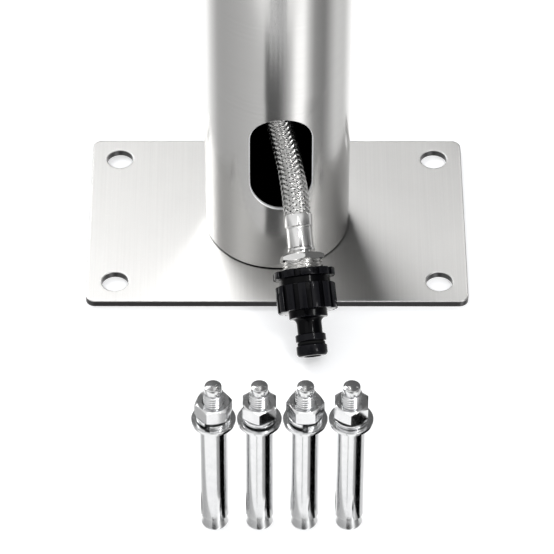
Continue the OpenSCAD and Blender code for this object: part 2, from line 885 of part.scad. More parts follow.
module valve_escutcheon() {
    color("silver")
        saddle_cover(escutcheon_d / 2, neck_r + seat_gap, escutcheon_front, valve_z);
}

// A round nut with two slots for a key
module valve_lock_nut() {
    color("silver")
        facing(escutcheon_front + fit, valve_z)
            difference() {
                ring(lock_nut_d / 2, neck_r + fit, lock_nut_t - fit);
                for (a = [0, 180])
                    rotate([0, 0, a])
                        translate([lock_nut_d / 2 - 2, -2, lock_nut_t - 2])
                            cube([4, 4, 4]);
            }
}

module cartridge_body() {
    color("ivory")
        facing(0, valve_z)
            difference() {
                union() {
                    translate([0, 0, disc_seal_at])
                        cylinder(r = cartridge_r, h = neck_end - disc_seal_at);
                    translate([0, 0, neck_end])
                        cylinder(r = neck_r - seat_gap, h = cartridge_flange_t);
                    translate([0, 0, neck_end])
                        cylinder(r = snout_r, h = snout_front - neck_end);
                }
                translate([0, 0, disc_seal_at - cut])
                    cylinder(r = disc_r + seat_gap, h = cage_floor - disc_seal_at + cut);
                cylinder(r = spindle_r + fit, h = snout_front + cut);
                translate([0, 0, disc_turning_at + disc_t / 2])
                    rotate([90, 0, 0])
                        cylinder(d = disc_t, h = cartridge_r + cut);
            }
}

module cartridge_nut() {
    color("goldenrod")
        facing(lock_nut_front + seat_gap, valve_z)
            difference() {
                hex_bar(cap_nut_af, cap_nut_front - lock_nut_front - seat_gap);
                translate([0, 0, -cut])
                    cylinder(r = neck_r + fit, h = cap_nut_grip + cartridge_flange_t + cut);
                cylinder(r = snout_r + fit, h = cap_nut_front);
            }
}

module disc_seal() {
    color("dimgray")
        facing(disc_seal_at + fit, valve_z)
            ring(disc_r, disc_r / 2, disc_seal_t - 2 * fit);
}

// The fixed disc, with its two kidney ports made as round ones
module ceramic_disc_fixed() {
    color("white")
        facing(disc_fixed_at, valve_z)
            difference() {
                cylinder(r = disc_r, h = disc_t);
                for (a = [0, 180])
                    rotate([0, 0, a])
                        translate([disc_r / 2, 0, -cut])
                            cylinder(d = disc_r / 2, h = disc_t + 2 * cut);
            }
}

module ceramic_disc_turning() {
    color("white")
        facing(disc_turning_at, valve_z)
            difference() {
                cylinder(r = disc_r, h = disc_t);
                for (a = [90, 270])
                    rotate([0, 0, a])
                        translate([disc_r / 2, 0, -cut])
                            cylinder(d = disc_r / 2, h = disc_t + 2 * cut);
            }
}

module valve_spindle() {
    groove_at = cap_nut_front - spindle_ring_t;
    color("goldenrod")
        facing(0, valve_z)
            difference() {
                union() {
                    translate([0, 0, spindle_at])
                        cylinder(r = disc_r, h = spindle_foot_t);
                    translate([0, 0, spindle_at])
                        cylinder(r = spindle_r, h = spindle_end - spindle_at);
                }
                translate([0, 0, groove_at - spindle_ring_t / 2 - fit])
                    ring(spindle_d, spindle_r - spindle_ring_t, spindle_ring_t + 2 * fit);
                translate([0, 0, spindle_end - screw_len])
                    cylinder(r = screw_d / 2 + fit, h = screw_len + cut);
            }
}

module spindle_o_ring() {
    color("black")
        facing(cap_nut_front - spindle_ring_t, valve_z)
            o_ring(spindle_r - spindle_ring_t / 2, spindle_ring_t - 2 * fit);
}

module handle_lever() {
    color("silver")
        facing(0, valve_z)
            difference() {
                union() {
                    rotate_extrude()
                        polygon(concat(
                            [[0, hub_back], [hub_d / 2, hub_back]],
                            [for (a = [0 : 15 : 90])
                                [hub_d / 2 - hub_wall * (1 - cos(a)), hub_front - hub_wall * (1 - sin(a))]],
                            [[0, hub_front]]));
                    translate([0, hub_d / 2 - hub_wall, lever_y])
                        rotate([-90, 0, 0])
                            cylinder(d = lever_d, h = lever_reach - lever_d / 2 - hub_d / 2 + hub_wall);
                    translate([0, lever_reach - lever_d / 2, lever_y])
                        sphere(d = lever_d);
                }
                translate([0, 0, hub_back - cut])
                    cylinder(r = hub_d / 2 - hub_wall, h = hub_floor - hub_back + cut);
                cylinder(r = spindle_r + fit, h = spindle_end);
                cylinder(r = screw_d / 2 + seat_gap, h = hub_front);
                translate([0, 0, screw_seat])
                    cylinder(r = screw_head_d / 2 + seat_gap, h = hub_front);
                translate([0, 0, cover_at])
                    cylinder(r = cover_d / 2 + fit, h = cover_t + cut);
            }
}

module handle_screw() {
    color("silver")
        facing(screw_seat, valve_z)
            difference() {
                union() {
                    cylinder(d = screw_head_d, h = screw_head_t);
                    translate([0, 0, -screw_len])
                        cylinder(d = screw_d, h = screw_len + screw_head_t / 2);
                }
                translate([0, 0, screw_head_t / 2])
                    cylinder(d = screw_d * 0.75, h = screw_head_t, $fn = 6);
            }
}

module handle_cover() {
    color("silver")
        facing(cover_at, valve_z)
            cylinder(d = cover_d, h = cover_t);
}

// The two end collars are brazed on the pipe
module riser_pipe() {
    color("silver")
        translate([0, pipe_y, riser_bottom])
            difference() {
                union() {
                    cylinder(d = riser_d, h = riser_top - riser_bottom);
                    cylinder(d = pipe_collar_d, h = pipe_collar_t);
                    translate([0, 0, riser_top - riser_bottom - pipe_collar_t])
                        cylinder(d = pipe_collar_d, h = pipe_collar_t);
                }
                translate([0, 0, -cut])
                    cylinder(r = riser_d / 2 - riser_wall, h = riser_top - riser_bottom + 2 * cut);
            }
}

module riser_union_nuts() {
    color("silver") {
        translate([0, pipe_y, riser_bottom - seal_t - union_grip])
            union_nut(riser_d / 2);
        translate([0, pipe_y, riser_top + seal_t + union_grip])
            mirror([0, 0, 1])
                union_nut(riser_d / 2);
    }
}

module riser_washers() {
    color("tan") {
        translate([0, pipe_y, riser_bottom - seal_t + fit])
            union_washer();
        translate([0, pipe_y, riser_top])
            union_washer();
    }
}

module arm_elbow() {
    thread_reach = elbow_r + spigot_len;
    color("goldenrod")
        difference() {
            union() {
                facing(elbow_back, arm_z)
                    cylinder(r = elbow_r, h = elbow_front - elbow_back);
                facing(elbow_front - cut, arm_z)
                    cylinder(r = elbow_neck_r, h = elbow_end - elbow_front + cut);
                translate([0, pipe_y, arm_z - thread_reach])
                    cylinder(r = thread_r, h = thread_reach);
            }
            facing(pipe_y - waterway_d / 2, arm_z)
                cylinder(d = waterway_d, h = elbow_end);
            translate([0, pipe_y, arm_z - thread_reach - cut])
                cylinder(d = waterway_d, h = thread_reach + cut);
        }
}

module elbow_saddle_washer() {
    color("black")
        saddle_washer(elbow_r, elbow_neck_r + seat_gap, elbow_front, arm_z);
}

module arm_rosette() {
    color("silver")
        saddle_cover(rosette_d / 2, elbow_neck_r + seat_gap, rosette_front, arm_z);
}

module arm_lock_nut() {
    color("silver")
        facing(rosette_front + fit, arm_z)
            difference() {
                hex_bar(arm_nut_af, arm_nut_t - fit);
                translate([0, 0, -cut])
                    cylinder(r = elbow_neck_r + fit, h = arm_nut_t + 2 * cut);
            }
}

module arm_washer() {
    color("tan")
        facing(elbow_end + fit, arm_z)
            ring(elbow_neck_r, waterway_d / 2 + fit, seal_t - 2 * fit);
}

module shower_arm() {
    color("silver")
        difference() {
            union() {
                facing(socket_at, arm_z)
                    cylinder(d = socket_d, h = socket_end - socket_at);
                facing(socket_floor, arm_z)
                    cylinder(r = arm_r, h = arm_reach - arm_bend_r - socket_floor);
                arm_bend(arm_r);
                translate([0, arm_reach, arm_end])
                    cylinder(r = arm_r, h = arm_drop);
            }
            facing(socket_at - cut, arm_z)
                cylinder(r = elbow_neck_r + fit, h = socket_floor - socket_at + cut);
            facing(socket_at, arm_z)
                cylinder(r = arm_bore_r, h = arm_reach - arm_bend_r - socket_at);
            arm_bend(arm_bore_r);
            translate([0, arm_reach, arm_end - cut])
                cylinder(r = arm_bore_r, h = arm_drop + cut);
        }
}

// A quarter of a round bar's bend, from the arm's axis to the head's axis
module arm_bend(r) {
    translate([0, arm_reach - arm_bend_r, bend_z])
        rotate([90, 0, 90])
            rotate_extrude(angle = 90)
                translate([arm_bend_r, 0])
                    circle(r = r);
}

module ball_stud() {
    color("silver")
        translate([0, arm_reach, 0])
            difference() {
                union() {
                    translate([0, 0, arm_end - stud_collar_t])
                        cylinder(r = arm_r, h = stud_collar_t);
                    translate([0, 0, arm_end - stud_collar_t])
                        cylinder(r = arm_bore_r - seat_gap, h = stud_collar_t + stud_shank_len);
                    translate([0, 0, ball_z])
                        cylinder(d = ball_neck_d, h = arm_end - ball_z);
                    translate([0, 0, ball_z])
                        sphere(r = ball_r);
                }
                translate([0, 0, ball_z - 2 * ball_r])
                    cylinder(d = ball_neck_d / 2, h = arm_end - ball_z + 3 * ball_r);
            }
}

// A ring with a spherical inside and outside, open above and below
module ball_seat() {
    color("goldenrod")
        translate([0, arm_reach, ball_z])
            difference() {
                intersection() {
                    sphere(r = seat_r);
                    translate([0, 0, -seat_rise])
                        cylinder(r = 2 * seat_r, h = 2 * seat_rise);
                }
                sphere(r = ball_r + seat_gap);
            }
}

module swivel_nut() {
    color("silver")
        translate([0, arm_reach, 0])
            difference() {
                translate([0, 0, swivel_bottom])
                    rotate_extrude()
                        polygon([[0, 0], [swivel_r, 0], [swivel_r, cup_r + swivel_rise - 4],
                            [swivel_r - 4, cup_r + swivel_rise], [0, cup_r + swivel_rise]]);
                translate([0, 0, ball_z])
                    sphere(r = cup_r);
                translate([0, 0, swivel_bottom - cut])
                    cylinder(r = hub_r + fit, h = cup_r + cut);
                for (i = [0 : 11])
                    rotate([0, 0, 30 * i])
                        translate([swivel_r + 0.8, 0, swivel_bottom - cut])
                            cylinder(r = 1.6, h = cup_r + swivel_rise - 4);
            }
}

// The flow washer lies in the bottom of the hub's cup
module flow_washer() {
    color("dimgray")
        translate([0, arm_reach, shell_top - head_wall + fit])
            ring(ball_neck_d - seat_gap, ball_neck_d / 4, flow_washer_t);
}

module head_shell() {
    color("silver")
        translate([0, arm_reach, 0])
            difference() {
                union() {
                    rotate_extrude()
                        polygon([[0, rim_bottom], [head_r, rim_bottom], [head_r, rim_top],
                            [hub_r, shell_top], [0, shell_top]]);
                    translate([0, 0, rim_top])
                        cylinder(r = hub_r, h = hub_top - rim_top);
                }
                rotate_extrude()
                    polygon([[0, rim_bottom - cut], [head_r - head_wall, rim_bottom - cut],
                        [head_r - head_wall, rim_top - head_wall], [hub_r, shell_top - 3 * head_wall],
                        [0, shell_top - 3 * head_wall]]);
                translate([0, 0, ball_z])
                    sphere(r = cup_r);
                translate([0, 0, shell_top - head_wall])
                    cylinder(r = ball_neck_d, h = cup_r);
                translate([0, 0, rim_bottom])
                    cylinder(r = ball_neck_d / 2, h = cup_r + head_rim_h);
            }
}

// Places its children at each nozzle
module at_nozzles() {
    for (k = [1 : nozzle_rings], i = [0 : 6 * k - 1])
        rotate([0, 0, 60 * i / k])
            translate([k * nozzle_pitch, 0, 0])
                children();
}

module spray_plate() {
    color("silver")
        translate([0, arm_reach, rim_bottom])
            difference() {
                cylinder(r = head_r - head_wall - seat_gap, h = spray_t);
                at_nozzles()
                    translate([0, 0, -cut])
                        cylinder(r = nozzle_d / 2 + seat_gap, h = spray_t + 2 * cut, $fn = 24);
            }
}

module nozzle_mat() {
    color("dimgray")
        translate([0, arm_reach, spray_top]) {
            cylinder(r = mat_r, h = mat_t);
            at_nozzles()
                translate([0, 0, -spray_t - nozzle_h])
                    cylinder(d = nozzle_d, h = spray_t + nozzle_h + cut, $fn = 24);
        }
}

// Places one child per anchor, and gives each its turn
module at_anchors() {
    for (i = [0 : anchor_count - 1])
        translate([anchor_x + (i - (anchor_count - 1) / 2) * anchor_pitch, -anchor_y, 0])
            rotate([0, 0, nut_turns[i]])
                children();
}

// The cone at the foot narrows to a waist under the sleeve
module anchor_studs() {
    tip = 2;
    inner_r = sleeve_d / 2 - sleeve_wall - seat_gap;
    color("silver")
        at_anchors()
            rotate_extrude()
                polygon([[0, 0], [cone_d / 2 - 0.4, 0], [cone_d / 2, 0.8], [inner_r, cone_h - seat_gap],
                    [inner_r, cone_h + 2 * tip], [stud_r, cone_h + 3 * tip], [stud_r, stud_len - tip],
                    [stud_r - tip / 2, stud_len], [0, stud_len]]);
}

module anchor_sleeves() {
    color("silver")
        at_anchors()
            translate([0, 0, sleeve_at])
                difference() {
                    ring(sleeve_d / 2, sleeve_d / 2 - sleeve_wall, sleeve_len);
                    for (a = [0 : 90 : 270])
                        rotate([0, 0, a + 20])
                            translate([0, -slit_w / 2, -cut])
                                cube([sleeve_d, slit_w, slit_len + cut]);
                }
}

module anchor_washers() {
    color("silver")
        at_anchors()
            translate([0, 0, washer_at])
                ring(washer_d / 2, stud_r + seat_gap, washer_t);
}

// A split ring, with its gap left open
module anchor_spring_washers() {
    color("silver")
        at_anchors()
            translate([0, 0, spring_at])
                rotate_extrude(angle = 345)
                    translate([stud_r + seat_gap, 0])
                        square([spring_washer_d / 2 - stud_r - seat_gap, spring_washer_t]);
}

module anchor_nuts() {
    color("silver")
        at_anchors()
            translate([0, 0, nut_at])
                difference() {
                    hex_bar(nut_af, nut_h, 1);
                    translate([0, 0, -cut])
                        cylinder(r = stud_r + fit, h = nut_h + 2 * cut);
                }
}

base_plate();
column_tube();
column_cap();
cap_o_ring();
supply_hose();
hose_end_ferrule();
hose_tailpiece();
tailpiece_washer();
thread_reducer();
connector_washer();
tap_connector();
nipple_o_ring();
hose_top_ferrule();
hose_top_insert();
hose_union_nut();
hose_union_washer();
valve_body();
valve_saddle_washer();
valve_escutcheon();
valve_lock_nut();
cartridge_body();
cartridge_nut();
disc_seal();
ceramic_disc_fixed();
ceramic_disc_turning();
valve_spindle();
spindle_o_ring();
handle_lever();
handle_screw();
handle_cover();
riser_pipe();
riser_union_nuts();
riser_washers();
arm_elbow();
elbow_saddle_washer();
arm_rosette();
arm_lock_nut();
arm_washer();
shower_arm();
ball_stud();
ball_seat();
swivel_nut();
flow_washer();
head_shell();
spray_plate();
nozzle_mat();
anchor_studs();
anchor_sleeves();
anchor_washers();
anchor_spring_washers();
anchor_nuts();
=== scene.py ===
"""Looks of a free-standing outdoor shower: finishes, braided hose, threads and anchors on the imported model.

Every length is in metres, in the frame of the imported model: +Z is up, the hose window faces -Y and the
shower head faces +Y.
"""
import json
import logging
import math
from dataclasses import dataclass
from enum import Enum
from typing import Callable, Iterable, Sequence

import bmesh
import bpy
from mathutils import Matrix, Vector

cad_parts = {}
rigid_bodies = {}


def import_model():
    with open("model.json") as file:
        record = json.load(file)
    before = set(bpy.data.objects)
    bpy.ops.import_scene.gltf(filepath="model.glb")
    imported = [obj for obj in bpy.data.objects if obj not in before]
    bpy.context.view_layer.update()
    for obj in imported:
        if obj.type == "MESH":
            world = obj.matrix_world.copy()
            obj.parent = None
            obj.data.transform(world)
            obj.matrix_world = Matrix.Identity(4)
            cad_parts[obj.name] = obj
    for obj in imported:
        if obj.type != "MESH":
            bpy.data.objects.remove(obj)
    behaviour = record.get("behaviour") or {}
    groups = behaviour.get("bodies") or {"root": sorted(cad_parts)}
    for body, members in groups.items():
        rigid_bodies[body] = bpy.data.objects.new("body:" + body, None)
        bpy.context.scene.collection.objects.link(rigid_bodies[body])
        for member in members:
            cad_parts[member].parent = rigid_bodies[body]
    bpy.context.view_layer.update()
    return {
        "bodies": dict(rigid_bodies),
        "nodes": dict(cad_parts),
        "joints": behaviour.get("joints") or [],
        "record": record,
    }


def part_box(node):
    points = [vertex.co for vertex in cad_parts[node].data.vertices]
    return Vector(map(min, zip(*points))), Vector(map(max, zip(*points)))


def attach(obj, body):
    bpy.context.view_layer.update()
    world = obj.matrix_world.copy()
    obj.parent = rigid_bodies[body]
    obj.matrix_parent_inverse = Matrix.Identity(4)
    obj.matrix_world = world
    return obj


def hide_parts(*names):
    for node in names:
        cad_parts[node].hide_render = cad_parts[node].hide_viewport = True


LOG = logging.getLogger("outdoor_shower")
MM = 0.001
TAU = 2 * math.pi

Point = tuple[float, float]
Triple = tuple[float, float, float]
Row = list[Vector]
Socket = bpy.types.NodeSocket
Piece = bpy.types.Object

# Distances below which points become one: on the column, elsewhere, on fine pieces and on the braid
JOIN_COLUMN = 2e-6
JOIN = 1e-6
JOIN_FINE = 1e-7
JOIN_BRAID = 1e-9
# Radius that stands for a point on the Z axis
AXIS_R = 1e-7
# Share of a short side that a rounded corner may take up
SIDE_SHARE = 0.48
# Brightness of a brush line beside its metal
LINE_SHADE = 0.55
# Share of a nut's width at which its ends are turned to a cone, and the cone's slope
NUT_FLAT = 0.475
NUT_SLOPE = math.tan(math.radians(30))
# Shares of a thread's pitch that its root and its flank take, and its rows in one pitch
THREAD_ROOT = 0.12
THREAD_FLANK = 0.68
THREAD_ROWS = 16
# Where on a rib's flank its shoulder lies, and the lifts of the shoulder and of the top's two ends
SHOULDER_AT = 0.35
SHOULDER_LIFT = 0.62
TOP_END_LIFT = 0.93


class Slot(Enum):
    """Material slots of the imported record."""

    BRUSHED = "brushed_stainless"
    CHROME = "polished_chrome"
    BRASS = "brass"
    RUBBER = "rubber"
    BRAID = "steel_braid"
    CRIMPED = "crimped_steel"
    NICKEL = "nickel_plate"
    FIBRE = "fibre"
    BLACK = "black_plastic"
    IVORY = "ivory_plastic"
    CERAMIC = "ceramic"
    SILICONE = "grey_silicone"
    ZINC = "bright_zinc"


class Grain(Enum):
    """Direction of the brush lines on a brushed surface."""

    ROUND_Z = (14.0, 14.0, 2600.0)
    ALONG_Y = (2600.0, 12.0, 200.0)
    ALONG_Z = (2200.0, 2200.0, 12.0)


class Nodes:
    """A thin hand for building node trees."""

    def __init__(self, tree: bpy.types.NodeTree) -> None:
        """Keeps the tree that the nodes go into."""
        self.tree = tree

    def add(self, kind: str, inputs: dict[str | int, object] | None = None,
            **settings: object) -> bpy.types.Node:
        """Adds a node.

        Args:
            kind: the node's type name without the ShaderNode prefix.
            inputs: value or socket for each input, by the input's name or number.
            settings: attributes of the node, set before its inputs.

        Returns:
            The new node.
        """
        node = self.tree.nodes.new("ShaderNode" + kind)
        for name, value in settings.items():
            setattr(node, name, value)
        self.fill(node, inputs or {})
        return node

    def feed(self, target: Socket, value: object) -> None:
        """Sets a socket to a plain value, or links it where the value is a socket.

        Args:
            target: the socket to set or to link.
            value: a plain value or a socket.
        """
        if isinstance(value, Socket):
            self.tree.links.new(value, target)
        else:
            target.default_value = value

    def fill(self, node: bpy.types.Node, inputs: dict[str | int, object]) -> None:
        """Feeds inputs of a node, by name or number."""
        for name, value in inputs.items():
            self.feed(node.inputs[name], value)

    def math(self, operation: str, a: object, b: object) -> Socket:
        """Adds a Math node for two values or sockets and returns its result."""
        return self.add("Math", {0: a, 1: b}, operation=operation).outputs[0]

    def spread(self, value: object, low: object, high: object, to_low: float, to_high: float) -> Socket:
        """Takes the range from low to high to another range, clamped, and returns the result."""
        marks = {"Value": value, "From Min": low, "From Max": high, "To Min": to_low, "To Max": to_high}
        return self.add("MapRange", marks).outputs["Result"]

    def noise(self, vector: Socket, scale: object, detail: float = 3.0, roughness: float = 0.5) -> Socket:
        """Adds a Noise Texture node and returns its value."""
        marks = {"Vector": vector, "Scale": scale, "Detail": detail, "Roughness": roughness}
        return self.add("TexNoise", marks).outputs[0]

    def mix(self, share: object, a: object, b: object) -> Socket:
        """Mixes two colours by a share and returns the result."""
        return self.add("Mix", {"Factor": share, "A": a, "B": b}, data_type="RGBA").outputs["Result"]

    def mix_shaders(self, share: Socket, a: Socket, b: Socket) -> Socket:
        """Mixes two shaders by a share and returns the result."""
        return self.add("MixShader", {0: share, 1: a, 2: b}).outputs[0]

    def seen(self) -> Socket:
        """Returns a value that is 1 for what the camera sees and 0 for what only lights or mirrors."""
        path = self.add("LightPath").outputs
        return self.math("MAXIMUM", path["Is Camera Ray"], path["Is Transmission Ray"])


def new_material(name: str) -> tuple[bpy.types.Material, Nodes]:
    """Makes a material.

    Args:
        name: the material's name.

    Returns:
        The material and the hand for its nodes.
    """
    made = bpy.data.materials.new(name)
    made.use_nodes = True
    return made, Nodes(made.node_tree)


def opaque(red: float, green: float, blue: float) -> tuple[float, float, float, float]:
    """Returns a colour with full alpha."""
    return red, green, blue, 1.0


class SharedEffects:
    """The effects that more than one finish uses, each a node group that is made once."""

    def __init__(self) -> None:
        """Builds the groups."""
        self.brush = self._brush_lines()
        self.cloud = self._cloudiness()
        self.wear = self._edge_wear()
        self.pits = self._fine_pits()

    @staticmethod
    def _group(name: str, label: str, default: object,
               outputs: Sequence[str]) -> tuple[Nodes, bpy.types.Node, bpy.types.Node]:
        """Starts a group with a vector and one further input.

        Args:
            name: the group's name.
            label: name of the further input.
            default: its default, a number or three numbers.
            outputs: name of each output, all floats.

        Returns:
            The hand for the group's nodes, its input node and its output node.
        """
        tree = bpy.data.node_groups.new(name, "ShaderNodeTree")
        tree.interface.new_socket("Vector", in_out="INPUT", socket_type="NodeSocketVector")
        kind = "NodeSocketFloat" if isinstance(default, float) else "NodeSocketVector"
        tree.interface.new_socket(label, in_out="INPUT", socket_type=kind).default_value = default
        for output in outputs:
            tree.interface.new_socket(output, in_out="OUTPUT", socket_type="NodeSocketFloat")
        return Nodes(tree), tree.nodes.new("NodeGroupInput"), tree.nodes.new("NodeGroupOutput")

    def _brush_lines(self) -> bpy.types.NodeTree:
        """Fine lines left by an abrasive belt: Tone is their light and dark, Height their relief.

        Returns:
            The node group.
        """
        hand, start, end = self._group("brush_lines", "Stretch", (1.0, 1.0, 1.0), ("Tone", "Height"))
        factors = {0: start.outputs["Vector"], 1: start.outputs["Stretch"]}
        stretched = hand.add("VectorMath", factors, operation="MULTIPLY").outputs[0]
        fine = hand.noise(stretched, 1.0, 2.0)
        broad = hand.noise(stretched, 0.23, 4.0)
        both = hand.math("ADD", hand.math("MULTIPLY", fine, 0.55), hand.math("MULTIPLY", broad, 0.45))
        hand.feed(end.inputs["Tone"], hand.spread(both, 0.3, 0.7, 0.0, 1.0))
        hand.feed(end.inputs["Height"], fine)
        return hand.tree

    def _cloudiness(self) -> bpy.types.NodeTree:
        """Broad soft changes over a surface, such as handling marks: Tone is from 0 to 1.

        Returns:
            The node group.
        """
        hand, start, end = self._group("cloudiness", "Scale", 20.0, ("Tone",))
        tone = hand.noise(start.outputs["Vector"], start.outputs["Scale"], 5.0, 0.62)
        hand.feed(end.inputs["Tone"], hand.spread(tone, 0.32, 0.68, 0.0, 1.0))
        return hand.tree

    def _edge_wear(self) -> bpy.types.NodeTree:
        """Rubbed edges: Mask is 1 on a convex edge and 0 on a flat or a hollow.

        Returns:
            The node group.
        """
        hand, start, end = self._group("edge_wear", "Reach", 0.56, ("Mask",))
        sharp = hand.add("NewGeometry").outputs["Pointiness"]
        ragged = hand.spread(hand.noise(start.outputs["Vector"], 900.0), 0.3, 0.7, -0.012, 0.012)
        edge = hand.spread(hand.math("ADD", sharp, ragged), 0.51, start.outputs["Reach"], 0.0, 1.0)
        hand.feed(end.inputs["Mask"], edge)
        return hand.tree

    def _fine_pits(self) -> bpy.types.NodeTree:
        """The fine orange peel of plating and moulding: Height is its relief.

        Returns:
            The node group.
        """
        hand, start, end = self._group("fine_pits", "Scale", 900.0, ("Height",))
        hand.feed(end.inputs["Height"], hand.noise(start.outputs["Vector"], start.outputs["Scale"], 1.0))
        return hand.tree


@dataclass(frozen=True)
class Finish:
    """A surface finish that is built as one material.

    Attributes:
        name: the material's name.
        colour: base colour.
        second: colour that the clouds mix in.
        metallic: 1 for bare or plated metal.
        roughness: roughness of the clean surface.
        rough_change: how much the clouds and the lines change the roughness.
        clouds: scale of the clouds.
        cloud_share: how much of the second colour the clouds mix in.
        grain: direction of brush lines, or None.
        line_share: how much the lines change the colour.
        line_depth: relief of the lines, in metres.
        pit_scale: scale of the fine pits.
        pit_depth: relief of the fine pits, in metres.
        worn: colour on rubbed edges.
        wear_share: how much of it shows.
        anisotropy: how far highlights are drawn out across the lines.
        drawn_by_uv: whether the lines run along the mesh's UV map, and not round the Z axis.
        gloss: strength of the reflection of a surface that isn't metal.
        ior: index of refraction of a surface that isn't metal.
    """

    name: str
    colour: Triple
    second: Triple
    metallic: float
    roughness: float
    rough_change: float = 0.05
    clouds: float = 30.0
    cloud_share: float = 0.5
    grain: Grain | None = None
    line_share: float = 0.0
    line_depth: float = 0.0
    pit_scale: float = 900.0
    pit_depth: float = 0.0
    worn: Triple = (0.9, 0.9, 0.9)
    wear_share: float = 0.0
    anisotropy: float = 0.0
    drawn_by_uv: bool = False
    gloss: float = 0.5
    ior: float = 1.45

    def build(self, effects: SharedEffects) -> bpy.types.Material:
        """Makes the material, whose base colour, roughness and relief come from nodes.

        Args:
            effects: the node groups that finishes share.

        Returns:
            The new material.
        """
        made, hand = new_material(self.name)
        place = hand.add("TexCoord").outputs["Object"]

        def effect(tree: bpy.types.NodeTree, **inputs: object) -> bpy.types.NodeOutputs:
            """Places a shared effect on the piece's own coordinates and returns its outputs."""
            return hand.add("Group", {"Vector": place, **inputs}, node_tree=tree).outputs

        cloud = effect(effects.cloud, Scale=self.clouds)["Tone"]
        colour = hand.mix(hand.math("MULTIPLY", cloud, self.cloud_share), opaque(*self.colour),
                          opaque(*self.second))
        rough = hand.spread(cloud, 0.0, 1.0, self.roughness, self.roughness + self.rough_change)
        if self.grain is not None:
            lines = effect(effects.brush, Stretch=self.grain.value)
            share = hand.math("MULTIPLY", lines["Tone"], self.line_share)
            colour = hand.mix(share, colour, opaque(*(LINE_SHADE * part for part in self.colour)))
            rough = hand.math("ADD", rough, hand.math("MULTIPLY", lines["Tone"], self.rough_change))
            relief = {"Height": lines["Height"], "Distance": self.line_depth}
        else:
            relief = {"Height": effect(effects.pits, Scale=self.pit_scale)["Height"],
                      "Distance": self.pit_depth}
        if self.wear_share > 0:
            worn = hand.math("MULTIPLY", effect(effects.wear)["Mask"], self.wear_share)
            colour = hand.mix(worn, colour, opaque(*self.worn))
        looks = {
            "Base Color": colour, "Roughness": rough, "Normal": hand.add("Bump", relief).outputs["Normal"],
            "Metallic": self.metallic, "Specular IOR Level": self.gloss, "IOR": self.ior,
            "Anisotropic": self.anisotropy}
        if self.anisotropy > 0 and self.drawn_by_uv:
            looks["Tangent"] = hand.add("Tangent", direction_type="UV_MAP").outputs[0]
        elif self.anisotropy > 0:
            looks["Tangent"] = hand.add("Tangent", direction_type="RADIAL", axis="Z").outputs[0]
            looks["Anisotropic Rotation"] = 0.25
        hand.fill(made.node_tree.nodes["Principled BSDF"], looks)
        return made


